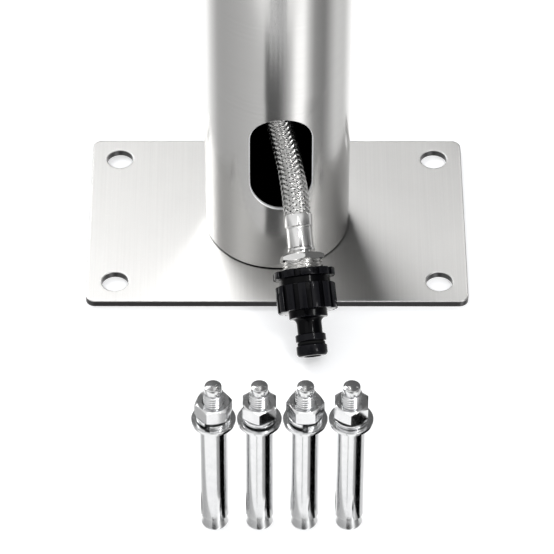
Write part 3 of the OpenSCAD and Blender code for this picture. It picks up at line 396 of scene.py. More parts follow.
class Workshop:
    """Builds each finish once and puts it on pieces."""

    FINISHES = {
        "column": Finish("column_brushed", (0.67, 0.665, 0.655), (0.72, 0.715, 0.705), 1.0, 0.15, 0.03, 9.0,
                         0.6, Grain.ROUND_Z, 0.1, 0.0000016, anisotropy=0.4),
        "plate": Finish("plate_brushed", (0.66, 0.655, 0.645), (0.74, 0.735, 0.72), 1.0, 0.36, 0.05, 14.0,
                        0.6, Grain.ALONG_Y, 0.13, 0.000004, worn=(0.95, 0.95, 0.94), wear_share=0.6,
                        anisotropy=0.85, drawn_by_uv=True),
        # Inside of the tube: near black and without reflection, painted shade for the shadow inside the
        # column
        "bore": Finish("tube_inside_painted_shade", (0.001, 0.001, 0.001), (0.004, 0.0035, 0.003), 0.0, 0.75, 0.1, 40.0,
                       0.7, pit_scale=500.0, pit_depth=0.00005, gloss=0.0, ior=1.01),
        # Openings' edges and walls: a near-white, mostly diffuse colour that paints a bright highlight line
        # round each opening
        "rim_painted_highlight": Finish("rim_painted_highlight", (0.95, 0.95, 0.95), (0.85, 0.85, 0.85), 0.25, 0.3, 0.1, 300.0, 0.6,
                           pit_scale=1500.0, pit_depth=0.00002),
        # Plate's sides and hole walls: vertical shear lines are the edge's own; the very dark metal colour is
        # painted shade
        "plate_side_painted_shade": Finish("plate_side_painted_shade", (0.14, 0.14, 0.14), (0.09, 0.09, 0.09), 1.0, 0.3, 0.05, 90.0,
                               0.7, Grain.ALONG_Z, 0.3, 0.00001),
        Slot.BRUSHED: Finish("brushed_steel", (0.64, 0.635, 0.625), (0.72, 0.715, 0.7), 1.0, 0.26, 0.06, 12.0,
                             0.6, Grain.ROUND_Z, 0.2, 0.000012, wear_share=0.3),
        Slot.CHROME: Finish("polished_chrome", (0.8, 0.8, 0.8), (0.74, 0.75, 0.76), 1.0, 0.07, 0.05, 25.0,
                            0.5, pit_scale=600.0, pit_depth=0.000004, wear_share=0.2),
        Slot.BRASS: Finish("machined_brass", (0.74, 0.55, 0.25), (0.62, 0.44, 0.2), 1.0, 0.3, 0.12, 60.0, 0.6,
                           Grain.ROUND_Z, 0.15, 0.00001, worn=(0.9, 0.75, 0.45), wear_share=0.4),
        Slot.RUBBER: Finish("black_rubber", (0.006, 0.006, 0.006), (0.014, 0.014, 0.014), 0.0, 0.62, 0.15,
                            60.0, 0.6, pit_scale=1500.0, pit_depth=0.00004, gloss=0.15),
        Slot.BRAID: Finish("braid_wire", (0.86, 0.855, 0.84), (0.7, 0.7, 0.69), 1.0, 0.2, 0.1, 180.0, 0.6,
                           pit_scale=2500.0, pit_depth=0.00001),
        Slot.CRIMPED: Finish("crimped_ferrule", (0.86, 0.857, 0.85), (0.78, 0.777, 0.77), 1.0, 0.13, 0.04,
                             90.0, 0.6, pit_scale=400.0, pit_depth=0.000006, wear_share=0.3),
        Slot.NICKEL: Finish("nickel_plated", (0.8, 0.795, 0.78), (0.7, 0.695, 0.68), 1.0, 0.13, 0.06, 120.0,
                            0.6, pit_scale=900.0, pit_depth=0.00001, wear_share=0.3),
        Slot.FIBRE: Finish("pressed_fibre", (0.42, 0.28, 0.17), (0.54, 0.4, 0.27), 0.0, 0.75, 0.15, 400.0,
                           0.8, pit_scale=2500.0, pit_depth=0.00006),
        Slot.BLACK: Finish("gloss_black_plastic", (0.001, 0.001, 0.0015), (0.002, 0.002, 0.003), 0.0, 0.09,
                           0.05, 120.0, 0.7, pit_scale=500.0, pit_depth=0.00001, worn=(0.015, 0.015, 0.018),
                           wear_share=0.5, ior=1.2),
        Slot.IVORY: Finish("ivory_plastic", (0.74, 0.7, 0.6), (0.66, 0.62, 0.52), 0.0, 0.4, 0.1, 90.0, 0.6,
                           pit_scale=1200.0, pit_depth=0.00002),
        Slot.CERAMIC: Finish("ground_ceramic", (0.84, 0.84, 0.82), (0.78, 0.78, 0.76), 0.0, 0.2, 0.1, 90.0,
                             0.5, pit_scale=2000.0, pit_depth=0.000006),
        Slot.SILICONE: Finish("grey_silicone", (0.13, 0.135, 0.14), (0.18, 0.185, 0.19), 0.0, 0.5, 0.15, 90.0,
                              0.6, pit_scale=1500.0, pit_depth=0.00003),
        Slot.ZINC: Finish("bright_zinc", (0.77, 0.775, 0.78), (0.66, 0.665, 0.68), 1.0, 0.1, 0.07, 160.0, 0.5,
                          Grain.ALONG_Z, 0.1, 0.000002, wear_share=0.3),
    }

    def __init__(self) -> None:
        """Makes the shared effects."""
        self.effects = SharedEffects()
        self.made: dict[object, bpy.types.Material] = {}

    def material(self, key: object) -> bpy.types.Material:
        """Finds the material of a finish, which is made on first use.

        Args:
            key: a slot, or the name of one piece's own finish.

        Returns:
            The material.
        """
        if key not in self.made:
            self.made[key] = self.FINISHES[key].build(self.effects)
        return self.made[key]

    def dress(self, piece: Piece, *keys: object) -> None:
        """Gives a piece its materials; emptying a list also resets the faces' choice.

        Args:
            piece: the piece.
            keys: the finish of each of its materials, in order.
        """
        if len(piece.data.materials) > 0:
            piece.data.materials.clear()
        for key in keys:
            piece.data.materials.append(self.material(key))


class Mesher:
    """Builds meshes from rows of points."""

    def __init__(self, name: str) -> None:
        """Starts an empty mesh.

        Args:
            name: the name of the piece to come.
        """
        self.name = name
        self.points: list[Vector] = []
        self.faces: list[tuple[int, ...]] = []
        self.slots: list[int] = []

    def strip(self, rows: Sequence[Row], closed: bool = True, looped: bool = False, slot: int = 0,
              keep: Callable[[int, int], bool] = lambda row, column: True) -> None:
        """Adds a surface through rows of points.

        Args:
            rows: rows with the same number of points each.
            closed: whether each row's last point joins its first.
            looped: whether the last row joins the first.
            slot: index of the material of the new faces.
            keep: says for a row and a column whether the face there is made.
        """
        base = len(self.points)
        count = len(rows[0])
        for row in rows:
            self.points.extend(row)
        for i in range(len(rows) if looped else len(rows) - 1):
            here = base + i * count
            there = base + (i + 1) % len(rows) * count
            for k in range(count if closed else count - 1):
                if keep(i, k):
                    after = (k + 1) % count
                    self.faces.append((here + k, here + after, there + after, there + k))
                    self.slots.append(slot)

    def lathe(self, profile: Iterable[Point], angles: Sequence[float], **options: object) -> None:
        """Adds the surface that a profile of radii and heights makes round Z, with strip's options."""
        self.strip([circle_row(radius, z, angles) for radius, z in profile], **options)

    def lid(self, row: Iterable[Vector]) -> None:
        """Closes a row of points with one flat face.

        Args:
            row: the points round the face.
        """
        base = len(self.points)
        self.points.extend(row)
        self.faces.append(tuple(range(base, len(self.points))))
        self.slots.append(0)

    def piece(self, place: Matrix | None = None, merge: float = JOIN, sharp: float = 32.0,
              weighted: bool = False, outward: bool = True) -> Piece:
        """Makes the object.

        Args:
            place: matrix that takes the points to the frame.
            merge: distance below which points become one.
            sharp: angle in degrees above which an edge is sharp.
            weighted: whether large flat faces pull the normals.
            outward: whether all faces are turned outward; if not, they keep their points' order.

        Returns:
            The new object, linked to the scene.
        """
        mesh = bpy.data.meshes.new(self.name)
        mesh.from_pydata([tuple(point) for point in self.points], [], self.faces)
        mesh.polygons.foreach_set("material_index", self.slots)
        work = bmesh.new()
        work.from_mesh(mesh)
        bmesh.ops.remove_doubles(work, verts=work.verts, dist=merge)
        if outward:
            bmesh.ops.recalc_face_normals(work, faces=work.faces)
        if place is not None:
            bmesh.ops.transform(work, matrix=place, verts=work.verts)
        work.to_mesh(mesh)
        work.free()
        mesh.shade_smooth()
        mesh.set_sharp_from_angle(angle=math.radians(sharp))
        made = bpy.data.objects.new(self.name, mesh)
        bpy.context.scene.collection.objects.link(made)
        if weighted:
            normals = made.modifiers.new("flat_normals", "WEIGHTED_NORMAL")
            normals.keep_sharp = True
            normals.weight = 100
        return made


def on_circle(radius: float, angle: float, z: float) -> Vector:
    """Returns the point at a radius from the Z axis, in a direction in radians and at a height."""
    return Vector((radius * math.cos(angle), radius * math.sin(angle), z))


def circle_row(radius: float, z: float, angles: Iterable[float]) -> Row:
    """Returns the points of a flat circle at a height, one for each angle."""
    return [on_circle(radius, angle, z) for angle in angles]


def even_angles(count: int, start: float = 0.0) -> list[float]:
    """Returns angles in even steps round the circle, in radians."""
    return [start + TAU * k / count for k in range(count)]


def rectangle(left: float, right: float, front: float, back: float, z: float) -> Row:
    """Returns the corners of a level rectangle, anticlockwise from above."""
    return [Vector((x, y, z)) for x, y in ((left, front), (right, front), (right, back), (left, back))]


def flat_piece(name: str, corners: Iterable[Vector], outward: bool) -> Piece:
    """Makes a piece of one flat face.

    Args:
        name: the piece's name.
        corners: the face's corners.
        outward: whether it is turned outward; if not, it keeps its corners' order.

    Returns:
        The new object.
    """
    mesher = Mesher(name)
    mesher.lid(corners)
    return mesher.piece(outward=outward)


def rounded(corners: Sequence[Point], radius: float, steps: int = 3) -> list[Point]:
    """Replaces each corner of a closed outline by a short curve.

    Args:
        corners: the outline's corners.
        radius: radius of the rounding, less where a side is short.
        steps: number of pieces in each curve.

    Returns:
        The new outline.
    """
    result: list[Point] = []
    for i, corner in enumerate(corners):
        here = Vector(corner)
        before = Vector(corners[i - 1]) - here
        after = Vector(corners[(i + 1) % len(corners)]) - here
        reach = min(radius, before.length * SIDE_SHARE, after.length * SIDE_SHARE)
        start = here + before.normalized() * reach
        end = here + after.normalized() * reach
        for k in range(steps + 1):
            t = k / steps
            curve = start * (1 - t) ** 2 + here * (2 * t * (1 - t)) + end * t ** 2
            result.append((curve.x, curve.y))
    return result


def hex_rows(across: float, low: float, high: float, bore: float, turn: float) -> list[Row]:
    """Makes the rows of a hexagon nut whose ends are turned to a cone.

    Args:
        across: width across the flats.
        low: height of its bottom.
        high: height of its top.
        bore: radius of its bore.
        turn: direction of one corner, in radians.

    Returns:
        The rows, from the bore's lower end over the outside to its upper end.
    """
    per_side = 12
    side = TAU / 6
    angles = [turn + side * i + side * k / per_side for i in range(6) for k in range(per_side)]
    outer = [across / 2 / math.cos((a - turn) % side - side / 2) for a in angles]
    lead = 0.5 * MM
    flat = NUT_FLAT * across
    end = [(bore, low + lead), (bore + lead, low), (flat, low)]
    rows = [circle_row(radius, z, angles) for radius, z in end]
    for z, inward in ((low, 1), (high, -1)):
        rows.append([on_circle(r, a, z + inward * (r - flat) * NUT_SLOPE) for r, a in zip(outer, angles)])
    return rows + [circle_row(radius, low + high - z, angles) for radius, z in reversed(end)]


def thread_rows(crest: float, root: float, pitch: float, low: float, high: float, segments: int,
                fade: float) -> list[Row]:
    """Makes the rows of a screw thread with sloping flanks.

    Args:
        crest: radius of the thread's crest.
        root: radius of the thread's root.
        pitch: distance between two crests.
        low: height at which the thread starts.
        high: height at which it ends.
        segments: number of steps round the axis.
        fade: length over which the thread runs out at both ends.

    Returns:
        The rows, from the low end up.
    """
    count = int((high - low) / pitch * THREAD_ROWS)
    angles = even_angles(segments)
    rows: list[Row] = []
    for i in range(count + 1):
        z = low + (high - low) * i / count
        height = (crest - root) * min(1.0, (z - low) / fade, (high - z) / fade)
        row: Row = []
        for a in angles:
            wave = abs(2 * ((z / pitch - a / TAU) % 1.0) - 1)
            share = min(1.0, max(0.0, (wave - THREAD_ROOT) / THREAD_FLANK))
            row.append(on_circle(root + height * share, a, z))
        rows.append(row)
    return rows


def notched_ring(count: int, width: float, radius: float, flank: float, per_top: int, per_gap: int,
                 start: float = 0.0) -> list[Point]:
    """Works out the marks round a ribbed or castellated ring.

    Args:
        count: number of ribs.
        width: width of a rib's top.
        radius: radius at which the width is measured.
        flank: width of a rib's flank.
        per_top: steps along a rib's top.
        per_gap: steps along a gap's floor.
        start: angle of the first rib's middle, in radians.

    Returns:
        The angle of each mark in radians, with its lift from 0 to 1.
    """
    half = width / radius / 2
    edge = half + flank / radius
    shoulder = edge - SHOULDER_AT * flank / radius
    floor = TAU / count - 2 * edge
    top = [(half * (2 * k / per_top - 1), 1.0 if 0 < k < per_top else TOP_END_LIFT)
           for k in range(per_top + 1)]
    rib = [(-edge, 0.0), (-shoulder, SHOULDER_LIFT), *top, (shoulder, SHOULDER_LIFT), (edge, 0.0)]
    rib += [(edge + floor * k / per_gap, 0.0) for k in range(1, per_gap)]
    return [(middle + away, lift) for middle in even_angles(count, start) for away, lift in rib]


def keep_in_frame(piece: Piece, nodes: Sequence[str]) -> Piece:
    """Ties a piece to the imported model, where it rides on the column's body.

    Args:
        piece: the piece.
        nodes: the nodes that it stands for, or none.

    Returns:
        The same piece.
    """
    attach(piece, "root")
    if nodes:
        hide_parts(*nodes)
    return piece


@dataclass
class Studio:
    """Camera, floor, lamps and surroundings.

    Attributes:
        walls: brightness of the walls that metal mirrors, by degrees from the hose side towards +X.
        upper_walls: the same above the horizon.
        lamps: name, compass direction, height in degrees, reach, width, height and power of each lamp.
        horizon: range of heights, as on a unit sphere, over which the lower walls pass into the upper ones.
        lid_band: the range over which the pale lid begins.
        lid_front: the range towards the back over which the lid fades.
        low_band: the range over which the walls dim towards the horizon.
        high_band: the range over which they brighten again above it.
        head_lamp: place, aim, width, height and power of the lamp at the shower head.
        white_card: the card on the floor, as left, right, front, back and height.
        side_card_marks: marks beside an anchor, towards +X and away from its middle, that cards run between.
        back_card: the dark card behind the anchors, as left, right, bottom and top.
    """

    distance: float = 2.0
    elevation: float = 44.1945
    azimuth: float = 0.2422
    roll: float = 0.2024
    lens: float = 239.975
    sensor: float = 36.0
    target: Triple = (0.000107, 0.0, -0.039056)
    floor_size: float = 14.0
    floor_drop: float = 0.00005
    wall_strength: float = 1.35
    lid_level: float = 0.62
    floor_glow: float = 0.38
    horizon: Point = (-0.02, 0.02)
    lid_band: Point = (0.72, 0.82)
    lid_front: Point = (-0.05, 0.25)
    low_band: Point = (-0.55, -0.25)
    high_band: Point = (0.3, 0.6)
    walls: tuple[Point, ...] = (
        (-180, 1.1), (-153, 1.15), (-140, 1.0), (-125, 0.7), (-107, 0.4), (-92, 0.39), (-67, 0.43),
        (-46, 0.48), (-24, 0.54), (-20, 0.54), (-18, 0.07), (2, 0.09), (10, 0.26), (20, 0.56), (29, 1.15),
        (39, 1.2), (48, 0.6), (58, 0.28), (75, 0.2), (88, 0.4), (102, 0.62), (125, 0.57), (142, 0.85),
        (160, 0.95), (180, 1.1))
    upper_walls: tuple[Point, ...] = (
        (-180, 0.05), (-165, 0.05), (-150, 0.3), (-125, 0.9), (-107, 0.56), (-92, 0.6), (-46, 0.7),
        (-22, 0.75), (-18, 0.1), (2, 0.1), (20, 0.7), (29, 1.2), (39, 1.2), (58, 0.3), (75, 0.12), (102, 0.2),
        (130, 0.12), (150, 0.03), (180, 0.03))
    lamps: tuple[tuple[str, float, float, float, float, float, float], ...] = (
        ("back_key", -143.0, 44.0, 4.0, 2.6, 1.5, 71.0), ("right_key", 40.0, 24.0, 1.6, 0.3, 0.3, 3.2),
        ("right_strip", 41.0, 56.0, 1.6, 0.05, 0.45, 3.2), ("front_box", -8.0, 68.0, 1.8, 1.1, 0.5, 1.6))
    lamp_aim: Triple = (0.0, -0.03, 0.03)
    head_lamp: tuple[Triple, Triple, float, float, float] = (
        (0.4, 0.9, 1.4), (0.0, 0.25, 1.95), 0.5, 0.5, 1.2)
    white_card: tuple[float, float, float, float, float] = (-0.3, 0.2, -0.42, -0.229, -0.001)
    white_card_level: float = 1.2
    side_card_marks: tuple[Point, ...] = ((0.012, 0.0043), (0.0162, 0.0211), (0.0107, 0.03))
    side_card_levels: Point = (0.0, 0.45)
    side_card_ends: Point = (-0.0009, 0.072)
    back_card: tuple[float, float, float, float] = (-0.12, 0.12, 0.112, 0.17)
    back_card_y: float = -0.15
    back_card_level: float = 0.12

    def build(self) -> None:
        """Makes everything around the object."""
        bpy.context.scene.view_settings.view_transform = "Standard"
        self._camera()
        self._floor()
        aim = Vector(self.lamp_aim)
        for name, compass, height, reach, width, tall, power in self.lamps:
            a, e = math.radians(compass), math.radians(height)
            way = Vector((math.sin(a) * math.cos(e), -math.cos(a) * math.cos(e), math.sin(e)))
            self._lamp(name, aim + way * reach, aim, width, tall, power)
        place, head, width, tall, power = self.head_lamp
        self._lamp("head_fill", Vector(place), Vector(head), width, tall, power)
        self._surroundings()
        self._anchor_cards()

    def _camera(self) -> None:
        """Places the camera as the photograph's."""
        e, a, r = (math.radians(x) for x in (self.elevation, self.azimuth, self.roll))
        forward = Vector((math.sin(a) * math.cos(e), math.cos(a) * math.cos(e), -math.sin(e)))
        right = Vector((math.cos(a), -math.sin(a), 0.0))
        up = right.cross(forward)
        turned_right = right * math.cos(r) + up * math.sin(r)
        turned_up = up * math.cos(r) - right * math.sin(r)
        place = Vector(self.target) - forward * self.distance
        data = bpy.data.cameras.new("view")
        data.lens = self.lens
        data.sensor_width = self.sensor
        data.clip_start, data.clip_end = 0.05, 60.0
        camera = bpy.data.objects.new("view", data)
        axes = Matrix((turned_right, turned_up, -forward)).transposed().to_4x4()
        camera.matrix_world = Matrix.Translation(place) @ axes
        bpy.context.scene.collection.objects.link(camera)
        bpy.context.scene.camera = camera

    def _floor(self) -> None:
        """Makes the pale floor, which looks white and keeps the shadow."""
        half = self.floor_size / 2
        floor = flat_piece("floor", rectangle(-half, half, -half, half, -self.floor_drop), outward=True)
        floor.visible_glossy = False
        made, hand = new_material("pale_floor")
        grain = hand.noise(hand.add("TexCoord").outputs["Object"], 6.0)
        looks = {
            "Base Color": hand.mix(grain, opaque(0.8, 0.8, 0.8), opaque(0.82, 0.82, 0.82)),
            "Roughness": 0.9, "Specular IOR Level": 0.0, "Emission Color": opaque(1, 1, 1),
            "Emission Strength": hand.math("MULTIPLY", hand.seen(), self.floor_glow)}
        hand.fill(made.node_tree.nodes["Principled BSDF"], looks)
        floor.data.materials.append(made)

    @staticmethod
    def _lamp(name: str, place: Vector, aim: Vector, width: float, tall: float, power: float) -> None:
        """Adds a rectangular soft lamp.

        Args:
            name: the lamp's name.
            place: where it stands.
            aim: the point that it is turned to.
            width: its width in metres.
            tall: its height in metres.
            power: its power in watts.
        """
        data = bpy.data.lights.new(name, "AREA")
        data.shape = "RECTANGLE"
        data.size, data.size_y = width, tall
        data.energy = power
        lamp = bpy.data.objects.new(name, data)
        lamp.location = place
        lamp.rotation_euler = (aim - place).to_track_quat("-Z", "Y").to_euler()
        lamp.visible_camera = False
        bpy.context.scene.collection.objects.link(lamp)

    def _surroundings(self) -> None:
        """Makes the white background and the soft boxes and dark walls that the metal shows."""
        world = bpy.data.worlds.new("studio")
        bpy.context.scene.world = world
        world.use_nodes = True
        hand = Nodes(world.node_tree)
        way = hand.add("SeparateXYZ", {0: hand.add("TexCoord").outputs["Generated"]}).outputs
        side = hand.math("ARCTAN2", way["X"], hand.math("MULTIPLY", way["Y"], -1.0))
        turn = hand.spread(side, -math.pi, math.pi, 0.0, 1.0)
        sky = hand.spread(way["Z"], *self.horizon, 0.0, 1.0)
        walls = hand.mix(sky, self._ramp(hand, turn, self.walls), self._ramp(hand, turn, self.upper_walls))
        front = hand.spread(way["Y"], *self.lid_front, 1.0, 0.1)
        lid = hand.math("MULTIPLY", hand.spread(way["Z"], *self.lid_band, 0.0, 1.0), front)
        low = hand.spread(way["Z"], *self.low_band, 1.0, 0.6)
        high = hand.spread(way["Z"], *self.high_band, 0.0, 1.0)
        boxes = hand.add("Background", {
            "Color": hand.mix(lid, walls, opaque(*[self.lid_level] * 3)),
            "Strength": hand.math("MULTIPLY", hand.math("MAXIMUM", low, high), self.wall_strength)})
        soft = hand.add("Background", {"Color": opaque(0.95, 0.97, 1.0), "Strength": 0.75})
        plain = hand.add("Background", {"Color": opaque(1, 1, 1)})
        glossy = hand.add("LightPath").outputs["Is Glossy Ray"]
        lighting = hand.mix_shaders(glossy, soft.outputs[0], boxes.outputs[0])
        surface = world.node_tree.nodes["World Output"].inputs["Surface"]
        hand.feed(surface, hand.mix_shaders(hand.seen(), lighting, plain.outputs[0]))

    @staticmethod
    def _ramp(hand: Nodes, turn: Socket, levels: Sequence[Point]) -> Socket:
        """Adds a ramp for the walls' brightness.

        Args:
            hand: the hand for the world's nodes.
            turn: the compass direction, from 0 to 1.
            levels: brightness by degrees from the hose side towards +X.

        Returns:
            The ramp's colour.
        """
        node = hand.add("ValToRGB", {"Fac": turn})
        ramp = node.color_ramp
        marks = [ramp.elements[0], ramp.elements[1]] + [ramp.elements.new(0.5) for _ in levels[2:]]
        for mark, (degrees, level) in zip(marks, levels):
            mark.position = (degrees + 180) / 360
            mark.color = opaque(level, level, level)
        return node.outputs["Color"]

    def _anchor_cards(self) -> None:
        """Makes the white card under the anchors and one-sided dark cards by them, seen by metal only."""
        self._card("white_card", rectangle(*self.white_card), self.white_card_level)
        foot, top = (Vector((0, 0, z)) for z in self.side_card_ends)
        for i, anchor in enumerate(Anchors().places()):
            marks = [anchor + Vector((right, -away, 0)) for right, away in self.side_card_marks]
            for level, near, far in zip(self.side_card_levels, marks, marks[1:]):
                self._card(f"side_card_{i + 1}_{int(100 * level)}",
                           [near + foot, far + foot, far + top, near + top], level)
        left, right, low, high = self.back_card
        corners = ((left, low), (right, low), (right, high), (left, high))
        self._card("dark_card_behind", [Vector((x, self.back_card_y, z)) for x, z in corners],
                   self.back_card_level)

    @staticmethod
    def _card(name: str, corners: Iterable[Vector], level: float) -> None:
        """Adds a card of a brightness that shows in reflections, and only from its front.

        Args:
            name: the card's name.
            corners: its corners, anticlockwise as seen from its front.
            level: its brightness.
        """
        card = flat_piece(name, corners, outward=False)
        card.visible_camera = False
        card.visible_diffuse = False
        card.visible_shadow = False
        card.visible_transmission = False
        made, hand = new_material(name)
        glow = hand.add("Emission", {"Color": opaque(level, level, level)}).outputs[0]
        clear = hand.add("BsdfTransparent").outputs[0]
        back = hand.add("NewGeometry").outputs["Backfacing"]
        hand.feed(made.node_tree.nodes["Material Output"].inputs["Surface"],
                  hand.mix_shaders(back, glow, clear))
        card.data.materials.append(made)


@dataclass
class HoseRoute:
    """The hose's middle line, in millimetres as in the part's source."""

    end: Triple = (10.3, -47.2, 51.4)
    slope: float = 38.2
    turn: float = 7.8
    straight: float = 10.0
    pipe_y: float = 16.0
    top: float = 1040.8
    step: float = 4.0
    middle: tuple[Triple, ...] = (
        (7.2, -30.5, 66.2), (4.8, -24.5, 74.8), (2.1, -20.1, 84.2), (-0.6, -17.4, 94.4), (-3.4, -15.8, 105),
        (-6.2, -14.8, 117), (-9, -13.9, 132), (-11.2, -12.8, 150), (-12.6, -11.2, 172), (-13.2, -9.2, 198),
        (-13, -6.5, 230), (-12, -3, 270), (-10.6, 0.5, 320), (-8.6, 4.5, 400), (-6.4, 8, 500),
        (-4.3, 10.8, 600), (-2.5, 13, 700), (-1.2, 14.6, 800), (-0.4, 15.6, 900))

    def end_way(self) -> Vector:
        """Returns the direction of the hose's free end."""
        return self.end_place().to_3x3() @ Vector((0, 0, 1))

    def end_place(self) -> Matrix:
        """Works out the place of the hose's cut end.

        Returns:
            The matrix that takes +Z to the free end's direction.
        """
        turn = Matrix.Rotation(math.radians(self.turn), 4, "Z")
        slope = Matrix.Rotation(math.radians(90 + self.slope), 4, "X")
        return Matrix.Translation(Vector(self.end) * MM) @ turn @ slope

    def line(self) -> list[Vector]:
        """Draws the smooth middle line.

        Returns:
            Its points from the free end to the valve, in metres.
        """
        end = Vector(self.end)
        route = [end, end - self.straight * self.end_way()]
        route += [Vector(point) for point in self.middle]
        route += [Vector((0, self.pipe_y, self.top - below))
                  for below in (4 * self.straight, self.straight, 0)]
        last = len(route) - 1
        points: list[Vector] = []
        for i in range(last):
            a, b, c, d = (route[max(i - 1, 0)], route[i], route[i + 1], route[min(i + 2, last)])
            count = math.ceil((c - b).length / self.step)
            for k in range(count):
                t = k / count
                if i in (0, last - 1):
                    points.append(b + (c - b) * t)
                else:
                    points.append(0.5 * (2 * b + (c - a) * t + (2 * a - 5 * b + 4 * c - d) * t * t
                                         + (3 * b - a - 3 * c + d) * t * t * t))
        points.append(route[last])
        return [point * MM for point in points]


class PathFrame:
    """Axes that travel along a line without twisting."""

    def __init__(self, line: Sequence[Vector]) -> None:
        """Works out the distance, direction and side axis at each point of the line.

        Args:
            line: the line's points.
        """
        self.line = list(line)
        self.at = [0.0]
        for a, b in zip(self.line, self.line[1:]):
            self.at.append(self.at[-1] + (b - a).length)
        last = len(self.line) - 1
        self.ways = [(self.line[min(i + 1, last)] - self.line[max(i - 1, 0)]).normalized()
                     for i in range(last + 1)]
        side = Vector((1, 0, 0))
        self.sides: list[Vector] = []
        for way in self.ways:
            side = (side - way * side.dot(way)).normalized()
            self.sides.append(side.copy())

    def sample(self, distance: float) -> tuple[Vector, Vector, Vector]:
        """Finds a place on the line.

        Args:
            distance: how far along the line it is.

        Returns:
            The point, with two axes square to the line there.
        """
        low, high = 0, len(self.at) - 1
        while high - low > 1:
            middle = (low + high) // 2
            if self.at[middle] <= distance:
                low = middle
            else:
                high = middle
        t = (distance - self.at[low]) / (self.at[high] - self.at[low])
        point = self.line[low].lerp(self.line[high], t)
        way = self.ways[low].lerp(self.ways[high], t).normalized()
        side = self.sides[low].lerp(self.sides[high], t)
        side = (side - way * side.dot(way)).normalized()
        return point, side, way.cross(side)

    @property
    def length(self) -> float:
        """Length of the line."""
        return self.at[-1]


@dataclass
class SupplyHose:
    """The braided hose: a dark inner tube under a twill of flat wire bundles."""

    route: HoseRoute
    core_radius: float = 6.3 * MM
    braid_radius: float = 6.72 * MM
    weave_height: float = 0.24 * MM
    carriers: int = 12
    lead: float = 34 * MM
    bundle_width: float = 1.62 * MM
    edge_drop: float = 0.12 * MM
    wires: int = 5
    wire_relief: float = 0.1 * MM
    shown: float = 150 * MM
    braid_step: float = 0.85 * MM
    sleeve_step: float = 6 * MM
    sleeve_sides: int = 32

    def build(self, shop: Workshop) -> tuple[Piece, list[Piece], float]:
        """Makes the inner tube, the braid and the plain braided stretch inside the column.

        Args:
            shop: the finishes.

        Returns:
            The cord's own piece, the pieces on it and its length.
        """
        line = self.route.line()
        frame = PathFrame(line)
        core = self._core(line)
        shop.dress(core, Slot.RUBBER)
        keep_in_frame(core, ["supply_hose"])
        wires = [self._braid(frame), self._sleeve(frame)]
        for piece in wires:
            shop.dress(piece, Slot.BRAID)
            keep_in_frame(piece, [])
        return core, wires, frame.length

    def _core(self, line: Sequence[Vector]) -> Piece:
        """Makes the inner tube as a curve with round section.

        Args:
            line: the points of the hose's middle line.

        Returns:
            The new object.
        """
        data = bpy.data.curves.new("hose_inner_tube", "CURVE")
        data.dimensions = "3D"
        data.bevel_depth = self.core_radius
        data.bevel_resolution = 6
        data.use_fill_caps = True
        spline = data.splines.new("POLY")
        spline.points.add(len(line) - 1)
        for mark, point in zip(spline.points, line):
            mark.co = (*point, 1.0)
        core = bpy.data.objects.new("hose_inner_tube", data)
        bpy.context.scene.collection.objects.link(core)
        return core

    def _braid(self, frame: PathFrame) -> Piece:
        """Makes the twill: each bundle passes over two and under two of the other hand.

        Args:
            frame: the axes along the hose.

        Returns:
            The new object.
        """
        mesher = Mesher("hose_braid")
        slant = math.hypot(self.lead, TAU * self.braid_radius) / self.lead
        count = int(self.shown * slant / self.braid_step)
        ridges = 2 * self.wires
        half_angle = slant * self.bundle_width / 2 / self.braid_radius
        stations = [self.shown * i / count for i in range(count + 1)]
        axes = [frame.sample(station) for station in stations]
        for hand in (1, -1):
            for carrier, start in enumerate(even_angles(self.carriers)):
                rows: list[Row] = []
                for station, (point, side, up) in zip(stations, axes):
                    turned = hand * TAU * station / self.lead
                    crossing = self.carriers * (start + 2 * turned) / TAU
                    lift = hand * self.weave_height * math.cos(math.pi / 2 * (carrier + crossing - 0.5))
                    row: Row = []
                    for k in range(ridges + 1):
                        across = 2 * k / ridges - 1
                        relief = self.wire_relief if k % 2 else 0.0
                        radius = self.braid_radius + lift + relief - self.edge_drop * across ** 4
                        a = start + turned + across * half_angle
                        row.append(point + radius * (math.cos(a) * side + math.sin(a) * up))
                    rows.append(row)
                mesher.strip(rows, closed=False)
        return mesher.piece(merge=JOIN_BRAID, sharp=60.0)

    def _sleeve(self, frame: PathFrame) -> Piece:
        """Makes the braided stretch that the column hides, with a ribbed outline.

        Args:
            frame: the axes along the hose.

        Returns:
            The new object.
        """
        mesher = Mesher("hose_braid_inside_column")
        start = self.shown - 1 * MM
        count = int((frame.length - start) / self.sleeve_step)
        rows: list[Row] = []
        for i in range(count + 1):
            point, side, up = frame.sample(start + (frame.length - start) * i / count)
            radius = self.braid_radius + self.wire_relief * (i % 2)
            rows.append([point + radius * (math.cos(a) * side + math.sin(a) * up)
                         for a in even_angles(self.sleeve_sides)])
        mesher.strip(rows)
        return mesher.piece(sharp=60.0)


